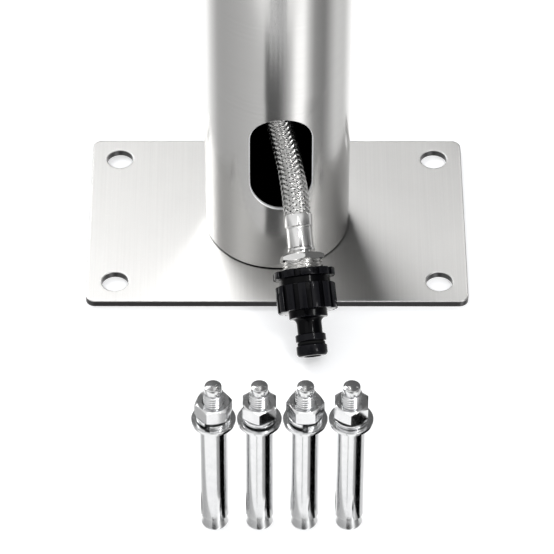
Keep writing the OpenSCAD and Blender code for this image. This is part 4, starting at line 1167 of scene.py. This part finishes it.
@dataclass
class HoseFittings:
    """What is screwed and crimped on the hose's free end. Places are measured from the hose's cut end."""

    place: Matrix
    ferrule: float = 19.2 * MM
    step: float = 6.6 * MM
    step_r: float = 7.5 * MM
    crimp_r: float = 6.8 * MM
    bead_r: float = 7.15 * MM
    bead: float = 1.8 * MM
    facets: int = 8
    stem_r: float = 5.1 * MM
    facet_turn: float = 50.0
    facet_marks: tuple[float, ...] = (0.0, 0.045, 0.07, 0.16, 0.26, 0.39, 0.52, 0.62, 0.715, 0.74)
    facet_crease: float = 0.06
    facet_share: float = 0.55
    crease_depth: float = 0.1 * MM
    stem_gap: float = 1.5 * MM
    bore_r: float = 4.0 * MM
    hex_len: float = 4.0 * MM
    hex_af: float = 21.5 * MM
    hex_turn: float = 28.0
    thread_len: float = 12.0 * MM
    thread_shown: float = 4.5 * MM
    thread_r: float = 10.475 * MM
    thread_root_r: float = 9.4 * MM
    thread_pitch: float = 1.814 * MM
    thread_relief: float = 0.45 * MM
    thread_fade: float = 0.5 * MM
    thread_play: float = 0.05 * MM
    flange_t: float = 3.9 * MM
    flange_r: float = 16.0 * MM
    notch_count: int = 10
    notch_depth: float = 1.2 * MM
    notch_w: float = 3.4 * MM
    flange_gap: float = 3.4 * MM
    big_thread_r: float = 13.2 * MM
    big_thread_len: float = 10.0 * MM
    collar_len: float = 13.8 * MM
    collar_r: float = 15.5 * MM
    rib_h: float = 1.1 * MM
    rib_w: float = 4.4 * MM
    ribs: int = 14
    washer_t: float = 2.0 * MM
    shoulder_r: float = 10.0 * MM
    shoulder_len: float = 3.6 * MM
    fillet: float = 2.6 * MM
    neck_r: float = 6.5 * MM
    neck_len: float = 8.4 * MM
    ring_r: float = 7.9 * MM
    ring_len: float = 3.7 * MM
    groove_len: float = 2.0 * MM
    groove_r: float = 5.3 * MM
    land_r: float = 8.0 * MM
    land_len: float = 5.6 * MM
    chamfer: float = 1.6 * MM
    nipple_bore_r: float = 4.2 * MM
    seal_r: float = 6.3 * MM
    seal_t: float = 1.8 * MM

    def __post_init__(self) -> None:
        """Works out the places along the hose's end."""
        self.hex_at = self.ferrule + self.stem_gap
        self.thread_at = self.hex_at + self.hex_len
        self.flange_at = self.thread_at + self.thread_shown
        self.flange_end = self.flange_at + self.flange_t
        self.collar_at = self.flange_end + self.flange_gap
        self.reducer_end = self.collar_at + self.big_thread_len
        self.collar_floor = self.reducer_end + self.washer_t
        self.collar_end = self.collar_at + self.collar_len
        self.shoulder_end = self.collar_end + self.shoulder_len
        self.ring_at = self.shoulder_end + self.neck_len
        self.ring_end = self.ring_at + self.ring_len
        self.land_at = self.ring_end + self.groove_len
        self.tip = self.land_at + self.land_len

    def build(self, shop: Workshop) -> list[Piece]:
        """Makes the fittings.

        Args:
            shop: the finishes.

        Returns:
            The pieces.
        """
        made: list[Piece] = []
        for node, slot, maker in (
                ("hose_end_ferrule", Slot.CRIMPED, self._ferrule),
                ("hose_tailpiece", Slot.NICKEL, self._tailpiece),
                ("thread_reducer", Slot.BLACK, self._reducer), ("tap_connector", Slot.BLACK, self._connector),
                ("nipple_o_ring", Slot.RUBBER, self._seal)):
            piece = maker()
            shop.dress(piece, slot)
            made.append(keep_in_frame(piece, [node]))
        return made

    def _facet(self, radius: float, angle: float) -> float:
        """Works out the crimped wall, with its flats and their creases.

        Args:
            radius: radius of the wall before it is crimped.
            angle: direction, in radians.

        Returns:
            The radius in that direction.
        """
        step = TAU / self.facets
        within = ((angle - math.radians(self.facet_turn)) % step) / step
        flat = math.cos(step / 2) / math.cos((within - 0.5) * step)
        crease = 0.0 if self.facet_crease < within < 1 - self.facet_crease else self.crease_depth
        return radius * (1 - self.facet_share * (1 - flat)) - crease

    def _ferrule(self) -> Piece:
        """Makes the crimped ferrule with its two faceted steps and its bead.

        Returns:
            The new object.
        """
        mesher = Mesher("ferrule_crimped")
        e = 0.35 * MM
        bead = self.ferrule - self.bead
        profile = [
            (self.stem_r, 0.05 * MM, 0.0), (self.step_r - e, 0.0, 1.0),
            (self.step_r - 0.1 * MM, 0.12 * MM, 1.0), (self.step_r, e, 1.0),
            (self.step_r, self.step - 2 * e, 1.0), (self.step_r - 0.12 * MM, self.step - e, 0.6),
            (self.crimp_r - 0.12 * MM, self.step + 0.1 * MM, 0.2),
            (self.crimp_r - 0.05 * MM, self.step + 2 * e, 1.0), (self.crimp_r, self.step + 3 * e, 1.0),
            (self.crimp_r, bead - 3 * e, 1.0), (self.crimp_r - 0.25 * MM, bead - e, 0.2),
            (self.bead_r - e, bead, 0.0), (self.bead_r, bead + e, 0.0), (self.bead_r, self.ferrule - e, 0.0),
            (self.bead_r - e, self.ferrule, 0.0), (self.stem_r, self.ferrule - 0.05 * MM, 0.0)]
        angles = [a + mark for a in even_angles(self.facets, math.radians(self.facet_turn))
                  for mark in self.facet_marks]
        mesher.strip([[on_circle(radius + share * (self._facet(radius, a) - radius), a, z) for a in angles]
                      for radius, z, share in profile], looped=True)
        return mesher.piece(self.place, sharp=24.0)

    def _tailpiece(self) -> Piece:
        """Makes the stem, the hexagon and the pipe thread.

        Returns:
            The new object.
        """
        mesher = Mesher("tailpiece_threaded")
        hex_end = self.thread_at
        thread_end = hex_end + self.thread_len
        thread_start = hex_end + self.thread_relief
        foot, overlap = 0.2 * MM, 0.5 * MM
        angles = even_angles(48)
        mesher.lathe([(self.bore_r, foot), (self.stem_r, foot), (self.stem_r, self.hex_at + overlap)], angles)
        nut = hex_rows(self.hex_af, self.hex_at, hex_end, self.stem_r, math.radians(self.hex_turn))
        mesher.strip(nut[1:7])
        mesher.lathe([(self.stem_r, hex_end), (self.thread_root_r, hex_end),
                      (self.thread_root_r, thread_start)],
                     angles)
        mesher.strip(thread_rows(self.thread_r, self.thread_root_r, self.thread_pitch, thread_start,
                                 thread_end, 72, self.thread_fade))
        mesher.lathe([(self.thread_root_r, thread_end), (self.bore_r, thread_end), (self.bore_r, foot)],
                     angles)
        return mesher.piece(self.place, merge=JOIN_FINE, sharp=28.0)

    @staticmethod
    def _ribbed(profile: Iterable[Triple], places: Sequence[Point], lift: float) -> list[Row]:
        """Makes the rows of a ring with ribs.

        Args:
            profile: radius, height and share of the ribs' lift at each row.
            places: angles round the ring with the lift at each, from 0 to 1.
            lift: height of the ribs.

        Returns:
            The rows.
        """
        return [[on_circle(r + rise * share * lift, a, z) for a, rise in places] for r, z, share in profile]

    def _reducer(self) -> Piece:
        """Makes the thread reducer with its castellated flange.

        Returns:
            The new object.
        """
        mesher = Mesher("reducer_castellated")
        lug = TAU * self.flange_r / self.notch_count - self.notch_w
        places = notched_ring(self.notch_count, lug - 0.5 * MM, self.flange_r, 0.25 * MM, 8, 4,
                              math.pi / self.notch_count)
        inner = self.thread_r + self.thread_play
        rim = self.flange_r - self.notch_depth
        start, end = self.flange_at, self.flange_end
        floor_r = self.bore_r + 1.5 * MM
        e = 0.4 * MM
        profile = [(inner, start + e, 0), (inner + e, start, 0), (rim - 2 * e, start, 0), (rim - e, start, 1),
                   (rim - 0.3 * e, start + 0.3 * e, 1), (rim, start + e, 1), (rim, end - e, 1),
                   (rim - 0.3 * e, end - 0.3 * e, 1), (rim - e, end, 1), (self.big_thread_r + e, end, 0),
                   (self.big_thread_r, end + e, 0), (self.big_thread_r, self.reducer_end - e, 0),
                   (self.big_thread_r - e, self.reducer_end, 0), (floor_r, self.reducer_end, 0),
                   (floor_r, self.thread_at + self.thread_len, 0),
                   (inner, self.thread_at + self.thread_len, 0)]
        mesher.strip(self._ribbed(profile, places, self.notch_depth), looped=True)
        return mesher.piece(self.place, merge=JOIN_FINE, sharp=35.0)

    def _connector(self) -> Piece:
        """Makes the tap connector: ribbed collar, shoulder and ringed nipple.

        Returns:
            The new object.
        """
        mesher = Mesher("tap_connector_ribbed")
        places = notched_ring(self.ribs, self.rib_w - 0.5 * MM, self.collar_r, 0.3 * MM, 5, 3)
        body = self.collar_r - self.rib_h
        start, end = self.collar_at, self.collar_end
        inner = self.big_thread_r + self.thread_play
        e = 0.5 * MM
        collar = [(inner, start + e, 0), (inner + 0.3 * MM, start, 0), (body - 1.2 * e, start, 0),
                  (body - 0.5 * e, start + 0.1 * e, 0.1), (body - 0.1 * e, start + 0.5 * e, 0.7),
                  (body, start + 1.2 * e, 1), (body, end - e, 1), (body - 0.3 * e, end - 0.3 * e, 1),
                  (body - e, end, 1)]
        nipple = [(self.shoulder_r + 2 * e, end), (self.shoulder_r + 0.4 * e, end + 0.1 * e),
                  (self.shoulder_r, end + 0.8 * e), (self.shoulder_r, self.shoulder_end - 0.8 * e),
                  (self.shoulder_r - 0.25 * e, self.shoulder_end - 0.2 * e)]
        for a in (math.radians(step) for step in range(0, 91, 15)):
            nipple.append((self.neck_r + self.fillet * (1 - math.sin(a)),
                           self.shoulder_end + self.fillet * (1 - math.cos(a))))
        h = 0.35 * MM
        nipple += [(self.neck_r, self.ring_at - h), (self.neck_r + h, self.ring_at),
                   (self.ring_r - h, self.ring_at), (self.ring_r, self.ring_at + h),
                   (self.ring_r, self.ring_end - h), (self.ring_r - h, self.ring_end),
                   (self.groove_r, self.ring_end), (self.groove_r, self.land_at),
                   (self.land_r - h, self.land_at), (self.land_r, self.land_at + h),
                   (self.land_r, self.tip - self.chamfer),
                   (self.land_r - 0.5 * self.chamfer, self.tip - 0.3 * MM),
                   (self.land_r - self.chamfer, self.tip), (self.nipple_bore_r + h, self.tip),
                   (self.nipple_bore_r, self.tip - h), (self.nipple_bore_r, self.collar_floor),
                   (inner, self.collar_floor)]
        rows = self._ribbed(collar, places, self.rib_h)
        rows += [circle_row(r, z, [a for a, _ in places]) for r, z in nipple]
        mesher.strip(rows, looped=True)
        return mesher.piece(self.place, merge=JOIN_FINE, sharp=38.0)

    def _seal(self) -> Piece:
        """Makes the O-ring in the nipple's groove.

        Returns:
            The new object.
        """
        mesher = Mesher("nipple_seal_ring")
        middle = (self.ring_end + self.land_at) / 2
        half = self.seal_t / 2
        section = [(self.seal_r + half * math.cos(a), middle + half * math.sin(a)) for a in even_angles(16)]
        mesher.lathe(section, even_angles(64), looped=True)
        return mesher.piece(self.place)


@dataclass
class Opening:
    """A hole through the column's wall.

    Attributes:
        middle: compass direction of its middle, in degrees from +X.
        centre_z: height of its middle.
        radius: radius of its round ends.
        stretch: half the distance between its two end circles' centres.
        low: lower end of the band that it is cut in.
        high: upper end of the band.
    """

    middle: float
    centre_z: float
    radius: float
    stretch: float
    low: float
    high: float


@dataclass
class ColumnAndPlate:
    """The column's tube and the plate that it stands on, both taken from the frame."""

    step: float = 3.0
    patch_half: int = 13
    patch_marks: tuple[float, ...] = (0.0, 0.04, 0.12, 0.26, 0.46, 0.72, 1.0)
    patch_margin: float = 14 * MM
    side_steps: int = 22
    rim: float = 0.5 * MM
    joint: float = 0.7 * MM
    window_turn: float = 3.0
    window_w: float = 32 * MM
    window_h: float = 61 * MM
    window_low: float = 47 * MM
    wall: float = 1.5 * MM
    corner_r: float = 5 * MM
    hole_r: float = 7 * MM
    hole_edge: float = 15 * MM
    plate_edge: float = 0.45 * MM
    valve_hole_r: float = 15.2 * MM
    valve_z: float = 1100 * MM
    arm_hole_r: float = 12.2 * MM
    arm_z: float = 2040 * MM

    def build(self, shop: Workshop) -> list[Piece]:
        """Makes both pieces.

        Args:
            shop: the finishes.

        Returns:
            The pieces.
        """
        column = self._column()
        # The tube's inside and its foot chamfer get painted shade; the openings' edges and walls get a
        # painted highlight
        shop.dress(column, "column", "bore", "rim_painted_highlight")
        plate = self._plate()
        shop.dress(plate, "plate", "plate_side_painted_shade")
        return [keep_in_frame(column, ["column_tube"]),
                keep_in_frame(plate, ["base_plate"])]

    def _openings(self) -> list[Opening]:
        """Lists the holes through the column's wall.

        Returns:
            The openings, from the foot up.
        """
        half = self.window_h / 2
        centre = self.window_low + half
        reach = half + self.patch_margin
        round_reach = 2 * self.patch_margin
        window = Opening(-90 + self.window_turn, centre, self.window_w / 2, half - self.window_w / 2,
                         centre - reach, centre + reach)
        return [window] + [Opening(90, z, radius, 0.0, z - round_reach, z + round_reach)
                           for z, radius in ((self.valve_z, self.valve_hole_r),
                                             (self.arm_z, self.arm_hole_r))]

    def _on_wall(self, radius: float, middle: float, x: float, z: float) -> Vector:
        """Returns the point of a cylinder at a sideways distance from an opening's middle."""
        return on_circle(radius, math.radians(middle) + math.asin(x / radius), z)

    def _frame_points(self, radius: float, hole: Opening) -> list[Point]:
        """Makes the outline of the patch that an opening is cut in.

        Args:
            radius: radius of the wall.
            hole: the opening.

        Returns:
            Points by their sideways distance from the opening's middle and their height.
        """
        half = self.patch_half
        across = [radius * math.sin(math.radians(self.step * k)) for k in range(-half, half + 1)]
        up = [hole.low + (hole.high - hole.low) * k / self.side_steps for k in range(self.side_steps + 1)]
        bottom = [(x, up[0]) for x in across[:-1]]
        right = [(across[-1], z) for z in up[:-1]]
        top = [(x, up[-1]) for x in reversed(across[1:])]
        left = [(across[0], z) for z in reversed(up[1:])]
        return bottom + right + top + left

    @staticmethod
    def _outline_point(hole: Opening, point: Point, grow: float) -> Point:
        """Finds a point of an opening's outline.

        Args:
            hole: the opening.
            point: sideways distance and height of the point that it lies towards.
            grow: distance by which the outline is grown.

        Returns:
            Its sideways distance and height.
        """
        x, z = point
        spine = max(-hole.stretch, min(hole.stretch, z - hole.centre_z)) + hole.centre_z
        way = Vector((x, z - spine)).normalized()
        return way.x * (hole.radius + grow), spine + way.y * (hole.radius + grow)

    def _patch(self, mesher: Mesher, hole: Opening, radius: float, grow: float, slot: int) -> None:
        """Adds the wall round an opening, from its outline to the patch's frame.

        Args:
            mesher: takes the surface.
            hole: the opening.
            radius: radius of the wall.
            grow: distance by which the outline is grown.
            slot: index of the material.
        """
        far = self._frame_points(radius, hole)
        near = [self._outline_point(hole, point, grow) for point in far]
        rows = [[self._on_wall(radius, hole.middle, x0 + t * (x1 - x0), z0 + t * (z1 - z0))
                 for (x0, z0), (x1, z1) in zip(near, far)] for t in self.patch_marks]
        mesher.strip(rows, slot=slot)

    def _rim(self, mesher: Mesher, hole: Opening, outer: float, inner: float) -> None:
        """Adds an opening's edge and its wall through the tube, both with a painted highlight in near white.

        Args:
            mesher: takes the surface.
            hole: the opening.
            outer: the tube's outer radius.
            inner: its inner radius.
        """
        frame_points = self._frame_points(outer, hole)
        levels = [(outer, self.rim), (outer - self.rim, 0.0), (inner, 0.0)]
        rows = [[self._on_wall(radius, hole.middle, *self._outline_point(hole, point, grow))
                 for point in frame_points] for radius, grow in levels]
        # Both strips take slot 2, the near-white finish that paints a highlight line round the opening and
        # down its wall
        mesher.strip(rows[:2], slot=2)
        mesher.strip(rows[1:], slot=2)

    def _band(self, mesher: Mesher, radius: float, low: float, high: float, start: float, count: int,
              rows: int, slot: int) -> None:
        """Adds a stretch of plain wall.

        Args:
            mesher: takes the surface.
            radius: radius of the wall.
            low: its lower end.
            high: its upper end.
            start: compass direction that it starts at, in degrees from +X.
            count: number of steps round the tube.
            rows: number of steps up.
            slot: index of the material.
        """
        angles = [math.radians(start + self.step * k) for k in range(count + 1)]
        heights = [low + (high - low) * k / rows for k in range(rows + 1)]
        mesher.strip([circle_row(radius, z, angles) for z in heights], closed=False, slot=slot)

    def _column(self) -> Piece:
        """Makes the tube with its window and its two upper holes.

        Returns:
            The new object.
        """
        low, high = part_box("column_tube")
        outer = (high.x - low.x) / 2
        inner = outer - self.wall
        mesher = Mesher("column")
        around = round(360 / self.step)
        start = -90 + self.window_turn
        holes = self._openings()
        # The inner wall takes slot 1, the near-black finish that paints the shade inside the tube
        for radius, grow, slot in ((outer, self.rim, 0), (inner, 0.0, 1)):
            at = low.z + (self.joint if slot == 0 else 0.0)
            for hole in holes:
                self._band(mesher, radius, at, hole.low, start, around, 1, slot)
                self._patch(mesher, hole, radius, grow, slot)
                self._band(mesher, radius, hole.low, hole.high, hole.middle + self.step * self.patch_half,
                           around - 2 * self.patch_half, self.side_steps, slot)
                at = hole.high
            self._band(mesher, radius, at, high.z, start, around, 1, slot)
        for hole in holes:
            self._rim(mesher, hole, outer, inner)
        angles = [math.radians(start + self.step * k) for k in range(around)]
        mesher.strip([circle_row(outer, high.z, angles), circle_row(inner, high.z, angles)])
        # The chamfer round the foot takes the near-black inside finish too: a painted shade line where the
        # column meets the plate
        mesher.strip([circle_row(outer, low.z + self.joint, angles),
                      circle_row(outer - self.joint, low.z + 0.8 * self.joint, angles),
                      circle_row(outer - self.joint, low.z, angles), circle_row(inner, low.z, angles)],
                     slot=1)
        return mesher.piece(merge=JOIN_COLUMN, sharp=25.0)

    def _plate_outline(self, half_w: float, half_d: float, shrink: float) -> list[Point]:
        """Makes the plate's outline.

        Args:
            half_w: half the plate's width.
            half_d: half its depth.
            shrink: distance by which the outline is drawn in.

        Returns:
            The outline's points.
        """
        radius = self.corner_r - shrink
        w, d = half_w - self.corner_r, half_d - self.corner_r
        corner_steps = 8
        corners = [(start + math.radians(90 * k / corner_steps), sx * w, sy * d)
                   for start, sx, sy in zip(even_angles(4), (1, -1, -1, 1), (1, 1, -1, -1))
                   for k in range(corner_steps + 1)]
        return [(x + radius * math.cos(a), y + radius * math.sin(a)) for a, x, y in corners]

    def _plate(self) -> Piece:
        """Makes the plate with its four holes and softly broken edges.

        Returns:
            The new object.
        """
        low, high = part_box("base_plate")
        half_w, half_d = high.x, high.y
        e = self.plate_edge
        arc = [(e * (1 - math.sin(a)), e * (1 - math.cos(a))) for a in map(math.radians, (0, 30, 60, 90))]
        levels = [(grow, high.z - drop) for grow, drop in arc]
        levels += [(grow, low.z + drop) for grow, drop in reversed(arc)]
        levels = [(3 * e, high.z), *levels, (3 * e, low.z)]
        mesher = Mesher("base_plate_brushed")
        middle = len(levels) // 2
        # Slot 1, the plate's sides and hole walls, takes the very dark metal that paints their shade
        parts = ((levels[:middle], 0), (levels[middle - 1:middle + 1], 1), (levels[middle:], 0))
        for part, slot in parts:
            mesher.strip([[Vector((x, y, z)) for x, y in self._plate_outline(half_w, half_d, shrink)]
                          for shrink, z in part], slot=slot)
        hole_x, hole_y = half_w - self.hole_edge, half_d - self.hole_edge
        angles = even_angles(48)
        for x, y in ((sx * hole_x, sy * hole_y) for sx in (-1, 1) for sy in (-1, 1)):
            shift = Vector((x, y, 0))
            for part, slot in parts:
                mesher.strip([[point + shift for point in circle_row(self.hole_r + grow, z, angles)]
                              for grow, z in part], slot=slot)
        plate = mesher.piece(merge=JOIN_FINE, sharp=40.0, weighted=True)
        work = bmesh.new()
        work.from_mesh(plate.data)
        for z in (low.z, high.z):
            rims = [edge for edge in work.edges if edge.is_boundary
                    and all(abs(corner.co.z - z) < JOIN for corner in edge.verts)]
            bmesh.ops.triangle_fill(work, edges=rims, use_beauty=True)
        bmesh.ops.recalc_face_normals(work, faces=work.faces)
        lines = work.loops.layers.uv.new("brush")
        for face in work.faces:
            face.smooth = True
            for corner in face.loops:
                corner[lines].uv = (corner.vert.co.x, corner.vert.co.y)
        work.to_mesh(plate.data)
        work.free()
        return plate


@dataclass
class Anchors:
    """Four expansion anchors in a row, each with its own turn."""

    count: int = 4
    pitch: float = 22 * MM
    middle_x: float = 2 * MM
    row_y: float = -212 * MM
    nut_turns: tuple[float, ...] = (10.0, 30.0, 0.0, 28.0)
    spring_turns: tuple[float, ...] = (250.0, 330.0, 270.0, 200.0)
    slit_turns: tuple[float, ...] = (296.0, 296.0, 290.0, 285.0)
    stud_r: float = 4.9 * MM
    root_r: float = 4.15 * MM
    tip_r: float = 4.3 * MM
    thread_pitch: float = 1.5 * MM
    thread_fade: float = 0.6 * MM
    stud_len: float = 95 * MM
    tip_len: float = 4.2 * MM
    cone_r: float = 6.8 * MM
    cone_h: float = 7 * MM
    sleeve_r: float = 7 * MM
    bore_play: float = 0.1 * MM
    nut_play: float = 0.05 * MM
    sleeve_wall: float = 1.6 * MM
    sleeve_at: float = 7 * MM
    sleeve_len: float = 64 * MM
    slit_len: float = 17 * MM
    slit_w: float = 1.2 * MM
    washer_r: float = 10.8 * MM
    washer_at: float = 71.1 * MM
    washer_t: float = 1.8 * MM
    spring_r: float = 8.5 * MM
    spring_at: float = 73.0 * MM
    spring_t: float = 3.4 * MM
    spring_section: float = 2.1 * MM
    nut_at: float = 76.5 * MM
    nut_h: float = 8 * MM
    nut_af: float = 16 * MM

    def places(self) -> list[Vector]:
        """Returns the middle of each anchor's foot."""
        middle = (self.count - 1) / 2
        return [Vector((self.middle_x + (i - middle) * self.pitch, self.row_y, 0)) for i in range(self.count)]

    def build(self, shop: Workshop) -> list[Piece]:
        """Makes the five kinds of piece, each kind as one object.

        Args:
            shop: the finishes.

        Returns:
            The pieces.
        """
        made: list[Piece] = []
        for node, maker in (("anchor_studs", self._stud), ("anchor_sleeves", self._sleeve),
                            ("anchor_washers", self._washer), ("anchor_spring_washers", self._spring),
                            ("anchor_nuts", self._nut)):
            mesher = Mesher(node + "_detailed")
            for i, place in enumerate(self.places()):
                first = len(mesher.points)
                maker(mesher, i)
                mesher.points[first:] = [point + place for point in mesher.points[first:]]
            piece = mesher.piece(merge=JOIN_FINE, sharp=30.0)
            shop.dress(piece, Slot.ZINC)
            made.append(keep_in_frame(piece, [node]))
        return made

    def _stud(self, mesher: Mesher, i: int) -> None:
        """Adds a stud with its cone, its waist, its thread and its smooth tip.

        Args:
            mesher: takes the surface.
            i: number of the anchor, not used.
        """
        angles = even_angles(48)
        neck_r = self.sleeve_r - self.sleeve_wall - self.bore_play
        start, end = self.spring_at, self.stud_len - self.tip_len
        foot = [(AXIS_R, 0.0), (self.cone_r - 0.6 * MM, 0.0), (self.cone_r - 0.15 * MM, 0.2 * MM),
                (self.cone_r, 0.8 * MM), (self.cone_r - 0.15 * MM, 1.4 * MM),
                (neck_r, self.cone_h - 0.1 * MM), (neck_r, self.cone_h + 4 * MM),
                (self.root_r, self.cone_h + 6 * MM), (self.root_r, start)]
        mesher.lathe(foot, angles)
        mesher.strip(thread_rows(self.stud_r, self.root_r, self.thread_pitch, start, end, 48,
                                 self.thread_fade))
        tip = [(self.root_r, end), (self.tip_r, end + 0.4 * MM), (self.tip_r, self.stud_len - 0.9 * MM),
               (self.tip_r - 0.25 * MM, self.stud_len - 0.25 * MM), (self.tip_r - 0.8 * MM, self.stud_len),
               (AXIS_R, self.stud_len)]
        mesher.lathe(tip, angles)

    def _sleeve(self, mesher: Mesher, i: int) -> None:
        """Adds a sleeve whose lower end is slit in four.

        Args:
            mesher: takes the surface.
            i: number of the anchor.
        """
        slits = even_angles(4, math.radians(self.slit_turns[i]))
        low, high = self.sleeve_at, self.sleeve_at + self.sleeve_len
        top = low + self.slit_len
        e = 0.3 * MM
        flare, flare_len = 0.12 * MM, 2 * MM
        closed = 0.02
        below = [low + rise * MM for rise in (0, 1, 5, 9, 13)] + [top - 1.5 * MM]
        heights = [*below, top, top + 3 * MM, high]
        per_slit = 12

        def columns(z: float, radius: float) -> list[float]:
            """Works out the directions of the columns of points in a row.

            Args:
                z: the row's height.
                radius: the wall's radius.

            Returns:
                The directions, in radians.
            """
            width = closed
            if z < top:
                width = max(closed, math.sqrt(min(1.0, (top - z) / (0.5 * self.slit_len))))
            half = self.slit_w / 2 * width / radius
            rest = math.pi / 2 - 2 * half
            across = [-half] + [half + rest * j / (per_slit - 1) for j in range(per_slit - 1)]
            return [slit + away for slit in slits for away in across]

        def solid(row: int, column: int) -> bool:
            """Says whether the wall is there, and not a slit."""
            return row >= len(below) or column % per_slit != 0

        outer_r, inner_r = self.sleeve_r, self.sleeve_r - self.sleeve_wall
        outer = [circle_row(outer_r + flare * max(0.0, (low + flare_len - z) / flare_len), z,
                            columns(z, outer_r))
                 for z in heights[:-1]]
        outer += [circle_row(outer_r, high - e, columns(high, outer_r)),
                  circle_row(outer_r - e, high, columns(high, outer_r))]
        inner = [circle_row(inner_r, z, columns(z, inner_r)) for z in heights]
        mesher.strip(outer, keep=solid)
        mesher.strip(inner, keep=solid)
        mesher.strip([outer[-1], inner[-1]])
        mesher.strip([outer[0], inner[0]], keep=solid)
        for at in (per_slit * k + side for k in range(4) for side in (0, 1)):
            mesher.strip([[row[at] for row in rows[:len(below) + 1]] for rows in (outer, inner)],
                         closed=False)

    def _washer(self, mesher: Mesher, i: int) -> None:
        """Adds a flat washer with a slightly rolled edge.

        Args:
            mesher: takes the surface.
            i: number of the anchor, not used.
        """
        low, high = self.washer_at, self.washer_at + self.washer_t
        inner = self.stud_r + self.bore_play
        roll = 0.45 * MM
        corners = [(inner, low), (self.washer_r, low), (self.washer_r, high), (inner, high)]
        mesher.lathe(rounded(corners, roll), even_angles(72), looped=True)

    def _spring(self, mesher: Mesher, i: int) -> None:
        """Adds a split spring washer that climbs by its own rise.

        Args:
            mesher: takes the surface.
            i: number of the anchor.
        """
        start = math.radians(self.spring_turns[i])
        inner = self.stud_r + self.bore_play
        rise = self.spring_t - self.spring_section
        corners = [(inner, 0.0), (self.spring_r, 0.0), (self.spring_r, self.spring_section),
                   (inner, self.spring_section)]
        edge = 0.3 * MM
        section = rounded(corners, edge)
        split, count = 18, 64
        rows: list[Row] = []
        for k in range(count + 1):
            share = k / count
            a = start + math.radians(split / 2 + (360 - split) * share)
            rows.append([on_circle(r, a, self.spring_at + rise * share + z) for r, z in section])
        mesher.strip(rows)
        mesher.lid(rows[0])
        mesher.lid(reversed(rows[-1]))

    def _nut(self, mesher: Mesher, i: int) -> None:
        """Adds a hexagon nut."""
        mesher.strip(hex_rows(self.nut_af, self.nut_at, self.nut_at + self.nut_h, self.stud_r + self.nut_play,
                              math.radians(self.nut_turns[i])), looped=True)


@dataclass
class FrameFinishes:
    """The CAD nodes that keep their own shape and get a finish and softly broken edges."""

    edge: float = 0.35 * MM
    soft_nodes: tuple[str, ...] = (
        "column_cap", "valve_escutcheon", "valve_lock_nut", "cartridge_nut", "handle_lever", "handle_cover",
        "arm_rosette", "arm_lock_nut", "shower_arm", "ball_stud", "swivel_nut", "head_shell", "spray_plate")

    def build(self, shop: Workshop, frame: dict[str, object]) -> None:
        """Dresses every node that still shows.

        Args:
            shop: the finishes.
            frame: the loaded model.
        """
        slots = {row["node"]: Slot(row["material_slot"]) for row in frame["record"]["subparts"]}
        shown = {name: node for name, node in frame["nodes"].items() if not node.hide_render}
        for name, node in shown.items():
            shop.dress(node, slots[name])
            if name in self.soft_nodes:
                self._soften(node)
        LOG.info("dressed %d nodes of the frame", len(shown))

    def _soften(self, node: Piece) -> None:
        """Breaks a node's edges with modifiers, which leave its own mesh as it is.

        Args:
            node: the node's object.
        """
        weld = node.modifiers.new("weld", "WELD")
        weld.merge_threshold = JOIN
        bevel = node.modifiers.new("broken_edges", "BEVEL")
        bevel.width = self.edge
        bevel.segments = 2
        bevel.limit_method = "ANGLE"
        bevel.angle_limit = math.radians(35)
        bevel.harden_normals = False
        bevel.use_clamp_overlap = True
        normals = node.modifiers.new("flat_normals", "WEIGHTED_NORMAL")
        normals.keep_sharp = True


def report(pieces: Iterable[Piece]) -> None:
    """Logs each piece with its number of faces or its kind.

    Args:
        pieces: the pieces to log.
    """
    for piece in pieces:
        faces = len(piece.data.polygons) if piece.type == "MESH" else 0
        LOG.info("%s: %s, %d faces", piece.name, piece.type.lower(), faces)


def main() -> None:
    """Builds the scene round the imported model."""
    logging.basicConfig(level=logging.INFO, format="%(name)s %(message)s")
    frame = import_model()
    Studio().build()
    shop = Workshop()
    route = HoseRoute()
    hose, on_hose, length = SupplyHose(route).build(shop)
    fittings = HoseFittings(route.end_place()).build(shop)
    report([hose, *on_hose, *fittings])
    report(ColumnAndPlate().build(shop))
    report(Anchors().build(shop))
    FrameFinishes().build(shop, frame)


if __name__ == "__main__":
    main()
